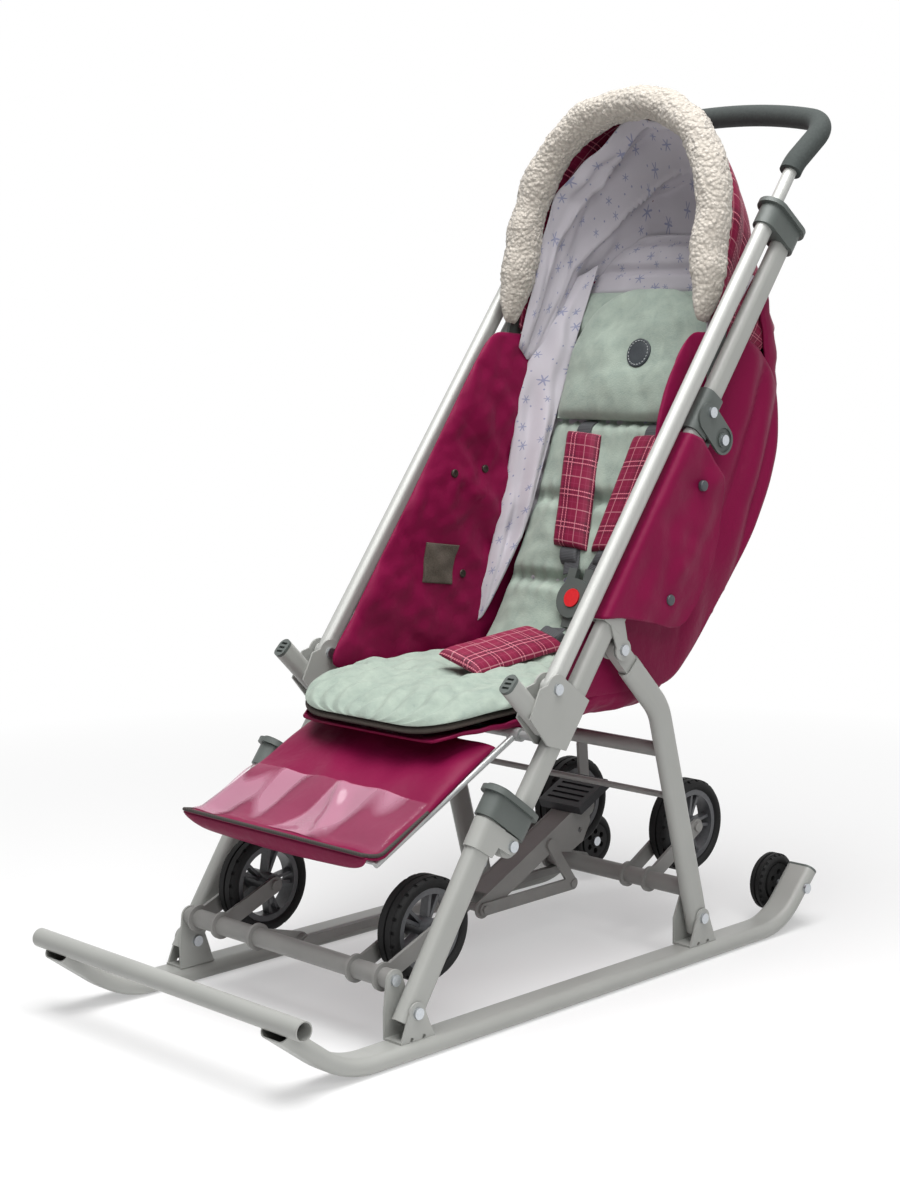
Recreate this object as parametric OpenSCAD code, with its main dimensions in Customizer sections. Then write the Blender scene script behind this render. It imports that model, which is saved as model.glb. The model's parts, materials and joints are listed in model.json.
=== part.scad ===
// Sled stroller: a push sled on two runners with a folding seat frame, a reversible push handle,
// a lined seat with a hood, and four wheels that a pedal swings down under the runners.
// Front faces -Y, up is +Z, and the two sides mirror each other across X = 0.

/* [Runners] */
// Distance between the centre lines of the two runners
track = 388; // [380:1:400]
// Width of the flat-oval runner tube
rail_w = 42; // [38:0.5:44]
// Height of the flat-oval runner tube
rail_h = 20; // [18:0.5:22]
// Bend radius of the runner at the front
rail_front_r = 120; // [100:1:130]
// Bend radius of the runner at the rear
rail_rear_r = 90; // [75:1:100]
// Station where the front upturn meets the ground line
rail_front_y = -62; // [-70:1:-55]
// Station where the rear upturn meets the ground line
rail_rear_y = 688; // [680:1:700]
// Length of the rear upturn
rail_rear_len = 86; // [80:1:92]
// Slope of the rear upturn
rail_rear_slope = 45; // [40:1:48]
// Station of the cross bar that joins the runner tips
nose_y = -142.5; // [-150:0.5:-138]
// Height of the cross bar that joins the runner tips
nose_z = 82; // [78:0.5:88]
// Diameter of the cross bar that joins the runner tips
nose_d = 22; // [20:0.5:24]
// Length of the cross bar that joins the runner tips
nose_len = 468; // [456:1:490]
// Wall of the bent tubes
tube_wall = 1.5; // [1.2:0.1:2]

/* [Legs and uprights] */
// Station of the front leg bolt
front_bolt_y = 41; // [36:0.5:46]
// Height of the front leg bolt above the ground
front_bolt_z = 50; // [49:0.5:52]
// Slope of the lower front leg
leg_slope = 56.5; // [55.5:0.5:57.5]
// Depth of the lower front leg tube
leg_d = 34; // [32:0.5:35]
// Thickness of the lower front leg tube
leg_t = 19; // [18:0.5:20]
// Length of the lower front leg above its bolt
leg_len = 231; // [229:0.5:233]
// Knee bolt: distance below the lower leg's upper end
knee_top = 19; // [18:0.5:22]
// Knee bolt: distance behind the lower leg's axis
knee_behind = 37.3; // [36.8:0.1:38]
// Slope of the uprights and of the push handle
upright_slope = 53.5; // [52.5:0.5:54.5]
// Length of an upright above its knee bolt
upright_len = 838; // [832:0.5:844]
// Depth of the upright tube
upright_d = 29; // [27:0.5:30]
// Thickness of the upright tube
upright_t = 17.6; // [17.2:0.1:17.9]
// Station of the rear leg bolt
rear_bolt_y = 529; // [524:0.5:534]
// Height of the rear leg bolt above the ground
rear_bolt_z = 53; // [52:0.5:55]
// Slope of the rear leg's lower stretch
rear_slope = 105.2; // [104:0.2:106.4]
// Rear leg's lower stretch: how much longer it is than the front leg
rear_longer = 51; // [46:1:56]
// Depth of the rear leg tube
rear_d = 32; // [28:0.5:33]
// Thickness of the rear leg tube
rear_t = 18; // [16:0.5:18]
// Rear clip bolt: distance along the upright from the knee
clip_along = 272.5; // [268:0.5:277]
// Rear clip bolt: distance behind the upright's axis
clip_behind = 33; // [32.5:0.5:35]
// Diameter of the frame's pivot bolts
bolt_d = 8; // [6:0.5:9]
// Thickness of the brackets' sheet steel
sheet = 2.5; // [2:0.1:2.8]

/* [Push handle] */
// Handle bolt: distance along the upright from the knee
hub_along = 179.5; // [176:0.5:184]
// Spacing between the handle tube and the upright
tube_gap = 39; // [38.5:0.1:40]
// Depth of the handle's flat-oval leg
handle_d = 24; // [22:0.5:25]
// Length of the handle's leg above its bolt
handle_leg_len = 682; // [680:0.5:684]
// Diameter of the bent handle bow
bow_d = 16.5; // [14:0.5:16.5]
// Slope of the bow where it leans back
bow_slope = 37; // [33:1:41]
// Diameter of the foam grip
grip_d = 28; // [25:0.5:30]
// Angle that the handle turns to face the other way
flip_angle = 81.5; // [79:0.5:84]
// Length of the stop tube that the turned handle rests against
stop_len = 55; // [50:1:60]

/* [Wheels] */
// Diameter of the four road wheels
wheel_d = 120; // [112:1:124]
// Width of the road wheels
wheel_w = 30; // [26:0.5:31]
// Diameter of the two transport wheels
small_d = 75; // [66:1:80]
// Width of the transport wheels
small_w = 22; // [18:0.5:24]
// Height of the wheel axle tubes above the leg bolts
axle_up = 33; // [32:0.5:35]
// Diameter of the wheel axle tubes
axle_d = 22; // [19:0.5:23]
// Length of the front fork arms
front_arm = 88; // [85:0.5:92]
// Slope of the front fork arms
front_arm_slope = 22; // [20:0.5:25]
// Length of the rear fork arms
rear_arm = 106; // [102:0.5:110]
// Slope of the rear fork arms
rear_arm_slope = 29; // [27:0.5:32]
// Middle of the front wheels, from the centre line
front_wheel_x = 140; // [136:0.5:143]
// Middle of the rear wheels, from the centre line
rear_wheel_x = 100; // [97:0.5:106]
// Number of spokes in a road wheel
spokes = 5; // [4:1:7]

/* [Seat and hood] */
// Half width of the seat fabric
seat_half = 163; // [160:0.5:164]
// Thickness of the seat cushion
seat_thick = 28; // [24:0.5:32]
// Slope of the backrest
back_slope = 69; // [68:0.5:70]
// Thickness of the back cushion
back_thick = 24; // [20:0.5:26]
// Length of the footrest from its hinge bar
footrest_len = 262; // [250:1:268]
// Slope of the footrest
footrest_slope = 207; // [206:0.5:208]
// Radius of the hood's front arch from its pivot
hood_r = 428; // [416:1:432]
// Half width of the hood
hood_half = 160; // [156:0.5:161]
// Radius of the fleece trim
fleece_r = 21; // [17:0.5:22]

/* [Hidden] */
$fn = 48;
fit = 0.05;
seam = 0.02;
gap = 0.3;
side_x = track / 2;
bolt_r = bolt_d / 2;

// Plane geometry: a point is [station, height], an angle is measured from +Y towards +Z
function dir(a) = [cos(a), sin(a)];
function behind(a) = [sin(a), -cos(a)];
function go(p, a, along, back = 0) = p + along * dir(a) + back * behind(a);
function heading(p, q) = atan2(q[1] - p[1], q[0] - p[0]);
function mix(a, b, t) = a + (b - a) * t;
function bezier(p, t) = pow(1 - t, 3) * p[0] + 3 * t * pow(1 - t, 2) * p[1]
    + 3 * t * t * (1 - t) * p[2] + pow(t, 3) * p[3];
function hump(u, power) = 1 - pow(abs(2 * u - 1), power);

// Frame points
knee_along = leg_len - knee_top;
rear_low_len = leg_len + rear_longer;
front_bolt = [front_bolt_y, front_bolt_z];
rear_bolt = [rear_bolt_y, rear_bolt_z];
knee = go(front_bolt, leg_slope, knee_along, knee_behind);
hub_foot = go(knee, upright_slope, hub_along);
hub = go(hub_foot, upright_slope, 0, -tube_gap);
rear_clip = go(knee, upright_slope, clip_along, clip_behind);
rear_bend = go(rear_bolt, rear_slope, rear_low_len);
rear_top_slope = heading(rear_bend, rear_clip);
nose = [nose_y, nose_z];
front_axle_at = [front_bolt_y - 9, front_bolt_z + axle_up];
rear_axle_at = [rear_bolt_y + 2, rear_bolt_z + axle_up];
front_wheel_at = go(front_axle_at, front_arm_slope, front_arm);
rear_wheel_at = go(rear_axle_at, rear_arm_slope, rear_arm);

// Runner line from its tip under the cross bar to its rear end
runner_toe = [rail_front_y, rail_h / 2];
runner_heel = [rail_rear_y, rail_h / 2];
runner_tip = go(nose, heading(runner_toe, nose), -2, -9);
tip_front = go(runner_tip, heading(runner_toe, nose), 0, -rail_h / 2)[0];
runner_end = go(runner_heel, rail_rear_slope, rail_rear_len);
transport_at = go(runner_heel, rail_rear_slope, rail_rear_len - 26);
transport_x = side_x - rail_w / 2 - 2 - small_w / 2;

// Leg brackets on the runners: a tall inner cheek, a low outer cheek and a base
bolt_head_h = 3.4;
bolt_head_r = 6.5;
cheek_in = leg_t / 2 + bolt_head_h + 2 * gap;
cheek_out = leg_t / 2 + gap;
bracket_half = 25;
leg_tail = 16;
axle_r = axle_d / 2;
axle_half = side_x - cheek_in - sheet - gap;
axle_plug = 28;

// Knee clip, stop tube and rear clip
clip_low = knee_along - 24;
clip_high = knee_along + 11;
ear_r = 12;
stop_slope = upright_slope + flip_angle;
stop_foot = go(hub, stop_slope, 0, -tube_gap);
stop_d = 26;
stop_back = 20;
cap_t = 4;
clip_in = max(rear_t / 2 + gap, upright_t / 2 + fit);
clip_band = 38;
tongue_w = 24;
tongue_t = 12;
tongue_len = 45;

// Handle bow: straight, leans back, then turns across into a shallow arch
handle_t = upright_t - 2 * gap;
bow_bend_r = 70;
bow_bend_along = handle_leg_len + 70;
bow_bend = go(hub, upright_slope, bow_bend_along);
bow_lean = 54;
bow_top = go(bow_bend, bow_slope, bow_lean);
bow_corner_r = 48;
bow_arch_r = 520;
bow_corner = acos((side_x - bow_corner_r) / (bow_arch_r - bow_corner_r));
bow_reach = bow_arch_r - (bow_arch_r - bow_corner_r) * sin(bow_corner);
bow_apex = go(bow_top, bow_slope, bow_reach);
grip_from = handle_leg_len + 56;

// The origin stands midway between the cross bar at the front and the grip at the rear
mid_y = (bow_apex[0] + grip_d / 2 + min(nose_y - nose_d / 2, tip_front)) / 2;

// Forks and the crank arms that the pedal rod turns
arm_t = 4;
arm_w = 20;
front_arm_off = 22;
rear_arm_off = 18;
pin_r = 4;
rim_r = wheel_d / 2 - 13;
crank_r = 66;
crank_slope = -15;
rod_x = -45;
rod_t = 8;
rod_w = 10;
crank_x = rod_x - rod_t / 2 - gap - arm_t;
front_pin = go(front_axle_at, crank_slope, crank_r);
rear_pin = go(rear_axle_at, crank_slope, crank_r);
strap_rise = 83;
lever_foot = mix(front_pin, rear_pin, 0.476);
lever_end = [528, 164];
link_end = [495, 69];
lever_half = 17;
lever_w = 24;
pedal_slope = heading(lever_foot, lever_end);
pedal_at = go(lever_end, pedal_slope, 0, -lever_w / 2 - gap);
pedal_size = [70, 62, 12];

// Locking collars slide on one tube and drop over the end of the other
lock_len = 37;
lock_w = 30;
lock_wall = 3;
lock_grip = 8;
lock_lip = 5;
leg_lock_along = leg_len - knee_along - lock_grip;
handle_lock_along = upright_len - hub_along - lock_grip;

// Hood pivot bracket on the upright and the hood that turns on it
hood_along = 570;
hood_behind = 38.7;
hood_pivot = go(knee, upright_slope, hood_along, hood_behind);
hood_pin_r = 5;
hood_slope = 76;
hood_rear_slope = 60;
hood_foot_r = 158;
hood_skin = 6;
canopy_drop = 16;
sleeve_wall = 2;
sleeve_len = 56;
arm_plate = 4;

// Seat shell, cushions, panels and footrest. The seat hangs on the uprights, so it is placed from the knee
shell_floor = [for (p = [[10.9, 124.8], [130.9, 119.8], [280.9, 98.8], [345.9, 151.8]]) knee + p];
shell_rear = [for (p = [[345.9, 151.8], [490.9, 273.8], [600.9, 443.8], [526.9, 635.8]]) knee + p];
shell_skin = 8;
shell_sag = 28;
seat_foot = knee + [12.9, 133.2];
seat_end = knee + [305.9, 143.8];
seat_slope = heading(seat_foot, seat_end);
seat_len = norm(seat_end - seat_foot);
cushion_half = 150;
seat_channels = 3;
back_front = knee + [320.9, 182.8];
back_foot = go(back_front, back_slope, 0, back_thick);
back_len = 470;
back_half = 128;
back_channels = 6;
panel_x = seat_half + gap;
panel_t = 8;
arm_x = panel_x + panel_t + 0.7;
board_half = panel_x - gap;
board_t = 6;
pillow_from = 290;
pillow_len = 190;
pillow_half = 112;
pillow_thick = 22;
flap_x = side_x + clip_in + sheet + 1;
flap_t = 5;
flap_web = upright_d / 2 + 2.8;
footrest_hinge = go(hub_foot, upright_slope, -52, -13.5);
footrest_half = 160;
pad_from = 60;
hinge_r = 5;
wire_r = 4;
wire_x = 150;
pad_t = 12;
pad_lip = 16;
pad_lift = 0.85;
hip_lift = 1.4;
buckle_s = 45;
buckle_r = 26;
buckle_t = 12;
buckle_h = back_thick - 0.5;
button_r = 12;

// Shared shapes

module stand() {
    translate([0, -mid_y, 0]) children();
}

module both() {
    children();
    mirror([1, 0, 0]) children();
}

// Flat-oval profile, w across and d in the side plane
module oval(w, d) {
    wide = max(w - d, 0);
    deep = max(d - w, 0);
    square([wide > 0 ? wide : w, deep > 0 ? deep : d], center = true);
    for (s = [-1, 1]) translate([s * wide / 2, s * deep / 2]) circle(min(w, d) / 2);
}

module oval_tube(w, d) {
    difference() {
        oval(w, d);
        oval(w - 2 * tube_wall, d - 2 * tube_wall);
    }
}

// Turns local Z along a heading in the side plane, and local Y to the back
module along(x, p, a) {
    translate([x, p[0], p[1]]) rotate([a - 90, 0, 0]) children();
}

// A flat outline of the side plane, t thick towards +X from x
module cheek(x, t) {
    translate([x, 0, 0]) rotate([90, 0, 90]) linear_extrude(t) children();
}

module across(x, p, len, r) {
    translate([x, p[0], p[1]]) rotate([0, 90, 0]) cylinder(r = r, h = len);
}

// A bar with round ends between two points of the side plane, its sides a hair inside the ends
module strap(p, q, w) {
    translate(p) rotate(heading(p, q)) translate([0, -w / 2 + seam]) square([norm(q - p), w - 2 * seam]);
    translate(p) circle(w / 2);
    translate(q) circle(w / 2);
}

// Tube along straight runs with round bends in the side plane, each run a hair short of its bends
module bent_tube(points, radii) {
    n = len(points);
    h = [for (i = [0:n - 2]) heading(points[i], points[i + 1])];
    bend = [for (i = [0:n - 1]) i == 0 || i == n - 1 ? 0 : h[i] - h[i - 1]];
    cut = [for (i = [0:n - 1]) bend[i] == 0 ? 0 : radii[i - 1] * tan(abs(bend[i]) / 2)];
    for (i = [0:n - 2]) {
        run = norm(points[i + 1] - points[i]) - cut[i] - cut[i + 1] - 2 * seam;
        along(0, go(points[i], h[i], cut[i] + seam), h[i]) linear_extrude(run) children();
    }
    for (i = [1:n - 2]) {
        r = radii[i - 1];
        s = sign(bend[i]);
        c = go(points[i], h[i - 1], -cut[i], -s * r);
        a = s > 0 ? h[i - 1] - 90 : h[i - 1] + 90 + bend[i];
        translate([0, c[0], c[1]]) rotate([90, 0, 90]) rotate(a)
            rotate_extrude(angle = abs(bend[i])) translate([r, 0]) rotate(90) children();
    }
}

// Bolt across a joint: shank, round head on the outside and a nut on the inside
module bolt(p, x_in, x_out) {
    across(x_in - bolt_head_h, p, x_out - x_in + 2 * bolt_head_h, bolt_r);
    across(x_out, p, bolt_head_h, bolt_head_r);
    across(x_in - bolt_head_h, p, bolt_head_h, bolt_head_r);
}

// Closed solid between two sheets of points, each a function of u and v from 0 to 1
module sheet_solid(nu, nv, top, bottom) {
    n = (nu + 1) * (nv + 1);
    grid = [for (v = [0:nv], u = [0:nu]) [u / nu, v / nv]];
    points = concat([for (g = grid) top(g[0], g[1])], [for (g = grid) bottom(g[0], g[1])]);
    at = function(u, v) v * (nu + 1) + u;
    quads = [for (v = [0:nv - 1], u = [0:nu - 1]) [at(u, v), at(u + 1, v), at(u + 1, v + 1), at(u, v + 1)]];
    rim = concat(
        [for (u = [0:nu - 1]) [at(u, 0), at(u + 1, 0)]],
        [for (v = [0:nv - 1]) [at(nu, v), at(nu, v + 1)]],
        [for (u = [nu:-1:1]) [at(u, nv), at(u - 1, nv)]],
        [for (v = [nv:-1:1]) [at(0, v), at(0, v - 1)]]
    );
    faces = concat(
        [for (q = quads) [q[0], q[2], q[1]]],
        [for (q = quads) [q[0], q[3], q[2]]],
        [for (q = quads) [q[0] + n, q[1] + n, q[2] + n]],
        [for (q = quads) [q[0] + n, q[2] + n, q[3] + n]],
        [for (e = rim) [e[0], e[1], e[1] + n]],
        [for (e = rim) [e[0], e[1] + n, e[0] + n]]
    );
    polyhedron(points, faces);
}

// Runners and what is fixed to them

module runner(side) {
    x = side * side_x;
    color("#a9aaa6") stand() difference() {
        translate([x, 0, 0]) bent_tube([runner_tip, runner_toe, runner_heel, runner_end],
            [rail_front_r, rail_rear_r]) oval_tube(rail_w, rail_h);
        across(x - rail_w, nose, 2 * rail_w, nose_d / 2 + fit);
        across(x - rail_w, transport_at, 2 * rail_w, bolt_r + fit);
    }
}

module nose_bar() {
    color("#adaea9") stand() difference() {
        across(-nose_len / 2, nose, nose_len, nose_d / 2);
        across(-nose_len / 2 - 1, nose, nose_len + 2, nose_d / 2 - tube_wall);
    }
}

module runner_caps() {
    color("#8d8f8c") stand() both() {
        along(side_x, runner_end, rail_rear_slope) linear_extrude(3) oval(rail_w, rail_h);
        along(side_x, go(runner_end, rail_rear_slope, -10), rail_rear_slope) linear_extrude(11)
            oval(rail_w - 2 * tube_wall - 2 * fit, rail_h - 2 * tube_wall - 2 * fit);
    }
}

module leg_bracket(p, axle) {
    x_in = side_x - cheek_in - sheet;
    x_out = side_x + cheek_out;
    difference() {
        union() {
            cheek(x_in, sheet) {
                polygon([
                    [p[0] - bracket_half, rail_h], [p[0] + bracket_half, rail_h], [p[0] + 15, p[1]],
                    axle + [ear_r, 0], axle - [ear_r, 0], [p[0] - bracket_half, p[1]]
                ]);
                translate(axle) circle(ear_r);
            }
            cheek(x_out, sheet) {
                polygon([
                    [p[0] - bracket_half, rail_h], [p[0] + bracket_half, rail_h],
                    p + [ear_r, 0], p - [ear_r, 0]
                ]);
                translate(p) circle(ear_r);
            }
            translate([x_in, p[0] - bracket_half, rail_h])
                cube([x_out + sheet - x_in, 2 * bracket_half, sheet]);
        }
        across(x_in - 1, p, x_out + sheet - x_in + 2, bolt_r + fit);
        across(x_in - 1, axle, sheet + 2, bolt_r + fit);
        // Notches where the outer cheek is folded up from the base
        for (s = [-1, 1]) translate([x_out, p[0] + s * 9, rail_h + sheet]) rotate([0, 90, 0])
            translate([0, 0, -1]) cylinder(r = 2.5, h = sheet + 2);
    }
}

module leg_brackets() {
    color("#9fa09c") stand() both() {
        leg_bracket(front_bolt, front_axle_at);
        leg_bracket(rear_bolt, rear_axle_at);
    }
}

// Leg bolts with their spacers, axle pivot bolts and the transport wheels' bolts
module base_bolts() {
    x_in = side_x - cheek_in - sheet;
    color("#b9bdc0") stand() both() {
        for (p = [front_bolt, rear_bolt]) {
            bolt(p, x_in, side_x + cheek_out + sheet);
            across(side_x - cheek_in, p, cheek_in - leg_t / 2 - gap, bolt_head_r);
        }
        for (p = [front_axle_at, rear_axle_at]) {
            across(x_in + sheet, p, bolt_head_h, bolt_head_r);
            across(axle_half - axle_plug + 6, p, side_x - cheek_in - axle_half + axle_plug - 6, bolt_r);
        }
        bolt(transport_at, transport_x - small_w / 2 - gap, side_x + rail_w / 2);
    }
}

// Wheel axles, forks and the pedal linkage

// A tube across the frame that turns on the bolts in its plugged ends, with its wheels' bolts
module axle_tube(p, wheel_at, wheel_x, arm_off) {
    color("#8b8a88") stand() {
        difference() {
            across(-axle_half, p, 2 * axle_half, axle_r);
            across(-axle_half + axle_plug, p, 2 * (axle_half - axle_plug), axle_r - tube_wall);
            across(-axle_half - 1, p, axle_plug + 2, bolt_r + fit);
            across(axle_half - axle_plug - 1, p, axle_plug + 2, bolt_r + fit);
        }
        both() bolt(wheel_at, wheel_x - arm_off - arm_t / 2, wheel_x + arm_off + arm_t / 2);
    }
}

module fork_arm(x, p, q) {
    difference() {
        cheek(x, arm_t) {
            strap(p, q, arm_w);
            translate(p) circle(axle_r + 5);
        }
        across(x - 1, p, arm_t + 2, axle_r + fit);
        across(x - 1, q, arm_t + 2, bolt_r + fit);
    }
}

// Two arms for each wheel, and the crank arm with its pin
module forks(p, wheel_at, wheel_x, arm_off, pin_at) {
    both() for (s = [-1, 1]) fork_arm(wheel_x + s * arm_off - arm_t / 2, p, wheel_at);
    difference() {
        cheek(crank_x, arm_t) {
            strap(p, pin_at, arm_w);
            translate(p) circle(axle_r + 5);
        }
        across(crank_x - 1, p, arm_t + 2, axle_r + fit);
    }
    across(crank_x, pin_at, arm_t + gap + rod_t + gap, pin_r);
    across(rod_x + rod_t / 2 + gap, pin_at, 2, pin_r + 2);
}

module front_forks() {
    color("#92918f") stand() forks(front_axle_at, front_wheel_at, front_wheel_x, front_arm_off, front_pin);
}

module rear_forks() {
    x = rear_wheel_x - rear_arm_off - arm_t / 2;
    color("#92918f") stand() {
        forks(rear_axle_at, rear_wheel_at, rear_wheel_x, rear_arm_off, rear_pin);
        // Straps that rise from the inner ends of the wheel bolts
        both() difference() {
            cheek(x - arm_t - bolt_head_h - gap, arm_t) strap(rear_wheel_at, rear_wheel_at + [-6, strap_rise], 18);
            across(x - 2 * arm_t - bolt_head_h, rear_wheel_at, 3 * arm_t, bolt_r + fit);
        }
    }
}

module connecting_rod() {
    color("#8e8d8b") stand() difference() {
        cheek(rod_x - rod_t / 2, rod_t) {
            strap(front_pin, rear_pin, rod_w);
            translate(front_pin) circle(8);
            translate(rear_pin) circle(6.5);
        }
        for (p = [front_pin, rear_pin]) across(rod_x - rod_t, p, 2 * rod_t, pin_r + fit);
    }
}

// Folded channel from the rod up to the pedal, with its brace and the pin that joins them
module pedal_lever() {
    brace_top = mix(lever_foot, lever_end, 0.62);
    color("#8f8e8b") stand() {
        difference() {
            union() {
                for (x = [-lever_half, lever_half - sheet]) cheek(x, sheet) {
                    strap(lever_foot, lever_end, lever_w);
                    polygon([
                        mix(lever_foot, lever_end, 0.55), lever_end,
                        lever_end + [4, -20], lever_end + [-10, -44], lever_end + [-34, -54]
                    ]);
                }
                along(0, lever_foot, heading(lever_foot, lever_end))
                    translate([-lever_half + 0.5, -lever_w / 2 + 0.7, 16])
                        cube([2 * lever_half - 1, sheet, norm(lever_end - lever_foot) - 20]);
            }
            across(-lever_half - 1, lever_end + [-16, -28], 2 * lever_half + 2, 3.5);
        }
        cheek(lever_half + gap, arm_t) {
            strap(lever_foot, link_end, 16);
            strap(link_end, brace_top, 14);
        }
        across(lever_half + gap - 2, link_end, arm_t + 4, bolt_head_r - 1);
        across(rod_x + rod_t / 2, lever_foot, lever_half + gap + arm_t + 3 - rod_x - rod_t / 2, pin_r + 1);
    }
}

module pedal() {
    color("#1d1d1e") stand() along(0, pedal_at, pedal_slope) difference() {
        translate([-pedal_size[0] / 2, -pedal_size[2], -pedal_size[1] / 2]) cube(
            [pedal_size[0], pedal_size[2], pedal_size[1]]);
        for (i = [-2:2]) translate([-pedal_size[0] / 2 + 8, -pedal_size[2] - 2, i * 10 - 2])
            cube([pedal_size[0] - 16, 4, 4]);
    }
}

// Wheels

module tyre(x, p, d, w, inner) {
    lugs = 24;
    groove = 3;
    translate([x, p[0], p[1]]) rotate([0, 90, 0]) difference() {
        rotate_extrude() difference() {
            union() {
                translate([inner, -w / 2 + 3]) square([d / 2 - inner - 5, w - 6]);
                translate([d / 2 - 12, -w / 2 + 5]) square([12, w - 10]);
                for (s = [-1, 1]) translate([d / 2 - 6.9, s * (w / 2 - 6)]) circle(6);
            }
            translate([d / 2 - 2.5, -1.5]) square([3, 3]);
        }
        for (i = [0:lugs - 1], s = [-1, 1])
            rotate(i * 360 / lugs + (s > 0 ? 180 / lugs : 0)) translate([d / 2 - groove, -2, s * w / 2 - w / 5])
                cube([groove + 1, 4, 2 * w / 5]);
    }
}

// Spoked wheel centre that turns on its bolt
module rim(x, p, r, hub_half) {
    ring_w = wheel_w - 8;
    ring_t = 7;
    hub_r = 13;
    translate([x, p[0], p[1]]) rotate([0, 90, 0]) difference() {
        union() {
            difference() {
                translate([0, 0, -ring_w / 2]) cylinder(r = r - gap, h = ring_w);
                translate([0, 0, -ring_w]) cylinder(r = r - ring_t, h = 2 * ring_w);
            }
            translate([0, 0, -hub_half]) cylinder(r = hub_r, h = 2 * hub_half);
            for (i = [0:spokes - 1]) rotate(i * 360 / spokes + 90)
                for (s = [-1, 1]) rotate(s * 9) translate([hub_r - 3, -2, -6]) cube([r - ring_t - hub_r + 4, 4, 12]);
        }
        translate([0, 0, -hub_half - 1]) cylinder(r = bolt_r + fit, h = 2 * hub_half + 2);
    }
}

module front_tyre(side) {
    color("#1b1b1c") stand() tyre(side * front_wheel_x, front_wheel_at, wheel_d, wheel_w, rim_r);
}

module front_rim(side) {
    color("#6d6e70") stand()
        rim(side * front_wheel_x, front_wheel_at, rim_r, front_arm_off - arm_t / 2 - gap);
}

module rear_tyre(side) {
    color("#1b1b1c") stand() tyre(side * rear_wheel_x, rear_wheel_at, wheel_d, wheel_w, rim_r);
}

module rear_rim(side) {
    color("#6d6e70") stand()
        rim(side * rear_wheel_x, rear_wheel_at, rim_r, rear_arm_off - arm_t / 2 - gap);
}

module transport_wheel(side) {
    hub_r = small_d / 2 - 14;
    color("#2a2a2b") stand() {
        tyre(side * transport_x, transport_at, small_d, small_w, hub_r);
        translate([side * transport_x, transport_at[0], transport_at[1]]) rotate([0, 90, 0]) difference() {
            translate([0, 0, -small_w / 2]) cylinder(r = hub_r + 0.7, h = small_w);
            translate([0, 0, -small_w]) cylinder(r = bolt_r + fit, h = 2 * small_w);
            for (i = [0:5], s = [-1, 1]) rotate(i * 60) translate([14, 0, s * small_w / 2])
                cylinder(r = 4, h = small_w / 2, center = true);
        }
    }
}

// Folding legs

module lower_legs() {
    color("#a7a8a4") stand() both() difference() {
        along(side_x, go(front_bolt, leg_slope, -leg_tail), leg_slope)
            linear_extrude(leg_len + leg_tail) oval_tube(leg_t, leg_d);
        across(side_x - leg_t, front_bolt, 2 * leg_t, bolt_r + fit);
    }
}

// Sheet clip bent round the front of the lower leg, trimmed to ears that hold the upright's foot
module knee_clips() {
    foot = go(front_bolt, leg_slope, clip_low);
    leg_at_knee = go(front_bolt, leg_slope, knee_along);
    inside = leg_t / 2 + fit;
    bend_at = (leg_d - leg_t) / 2;
    color("#a3a49f") stand() both() difference() {
        intersection() {
            along(side_x, foot, leg_slope) linear_extrude(clip_high - clip_low) difference() {
                union() {
                    translate([0, -bend_at]) circle(inside + sheet);
                    translate([-inside - sheet, -bend_at]) square([2 * (inside + sheet), bend_at + knee_behind + 2 * ear_r]);
                }
                translate([0, -bend_at]) circle(inside);
                translate([-inside, -bend_at]) square([2 * inside, bend_at + knee_behind + 3 * ear_r]);
            }
            cheek(side_x - leg_d, 2 * leg_d) {
                polygon([
                    go(foot, leg_slope, -5, -leg_d), go(foot, leg_slope, -5, leg_d / 2 - 4),
                    go(leg_at_knee, leg_slope, -ear_r, leg_d / 2), go(leg_at_knee, leg_slope, 30, leg_d / 2),
                    go(leg_at_knee, leg_slope, 30, -leg_d)
                ]);
                strap(leg_at_knee, knee, 2 * ear_r - 4);
            }
        }
        across(side_x - leg_t, knee, 2 * leg_t, bolt_r + fit);
    }
}

module knee_bolts() {
    half = leg_t / 2 + fit + sheet;
    color("#b9bdc0") stand() both() bolt(knee, side_x - half, side_x + half);
}

// Rear legs bend forward to a flattened tongue that sits between the rear clip's ears
module rear_legs() {
    foot = go(rear_bolt, rear_slope, -leg_tail);
    tube_top = go(rear_clip, rear_top_slope, -30);
    color("#a7a8a4") stand() both() difference() {
        union() {
            translate([side_x, 0, 0]) bent_tube([foot, rear_bend, tube_top], [60]) oval_tube(rear_t, rear_d);
            along(side_x, go(tube_top, rear_top_slope, -22), rear_top_slope) linear_extrude(20)
                oval(rear_t - tube_wall, rear_d - tube_wall);
            cheek(side_x - tongue_t / 2, tongue_t)
                strap(go(rear_clip, rear_top_slope, -tongue_len), rear_clip, tongue_w);
        }
        across(side_x - rear_t, rear_bolt, 2 * rear_t, bolt_r + fit);
        across(side_x - rear_t, rear_clip, 2 * rear_t, bolt_r + gap);
    }
}

module rear_bars() {
    half = side_x - rear_t / 2;
    color("#8b8a88") stand() {
        across(-half, go(rear_bend, rear_slope, -56), 2 * half, 9);
        across(-half, go(rear_bolt, rear_slope, 164), 2 * half, 4);
    }
}

// Seat frame

module uprights() {
    color("#a7a8a4") stand() both() difference() {
        union() {
            along(side_x, knee, upright_slope) linear_extrude(upright_len) oval_tube(upright_t, upright_d);
            across(side_x - tongue_t / 2, knee, tongue_t, upright_d / 2);
        }
        across(side_x - upright_t, knee, 2 * upright_t, bolt_r + fit);
    }
}

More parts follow.
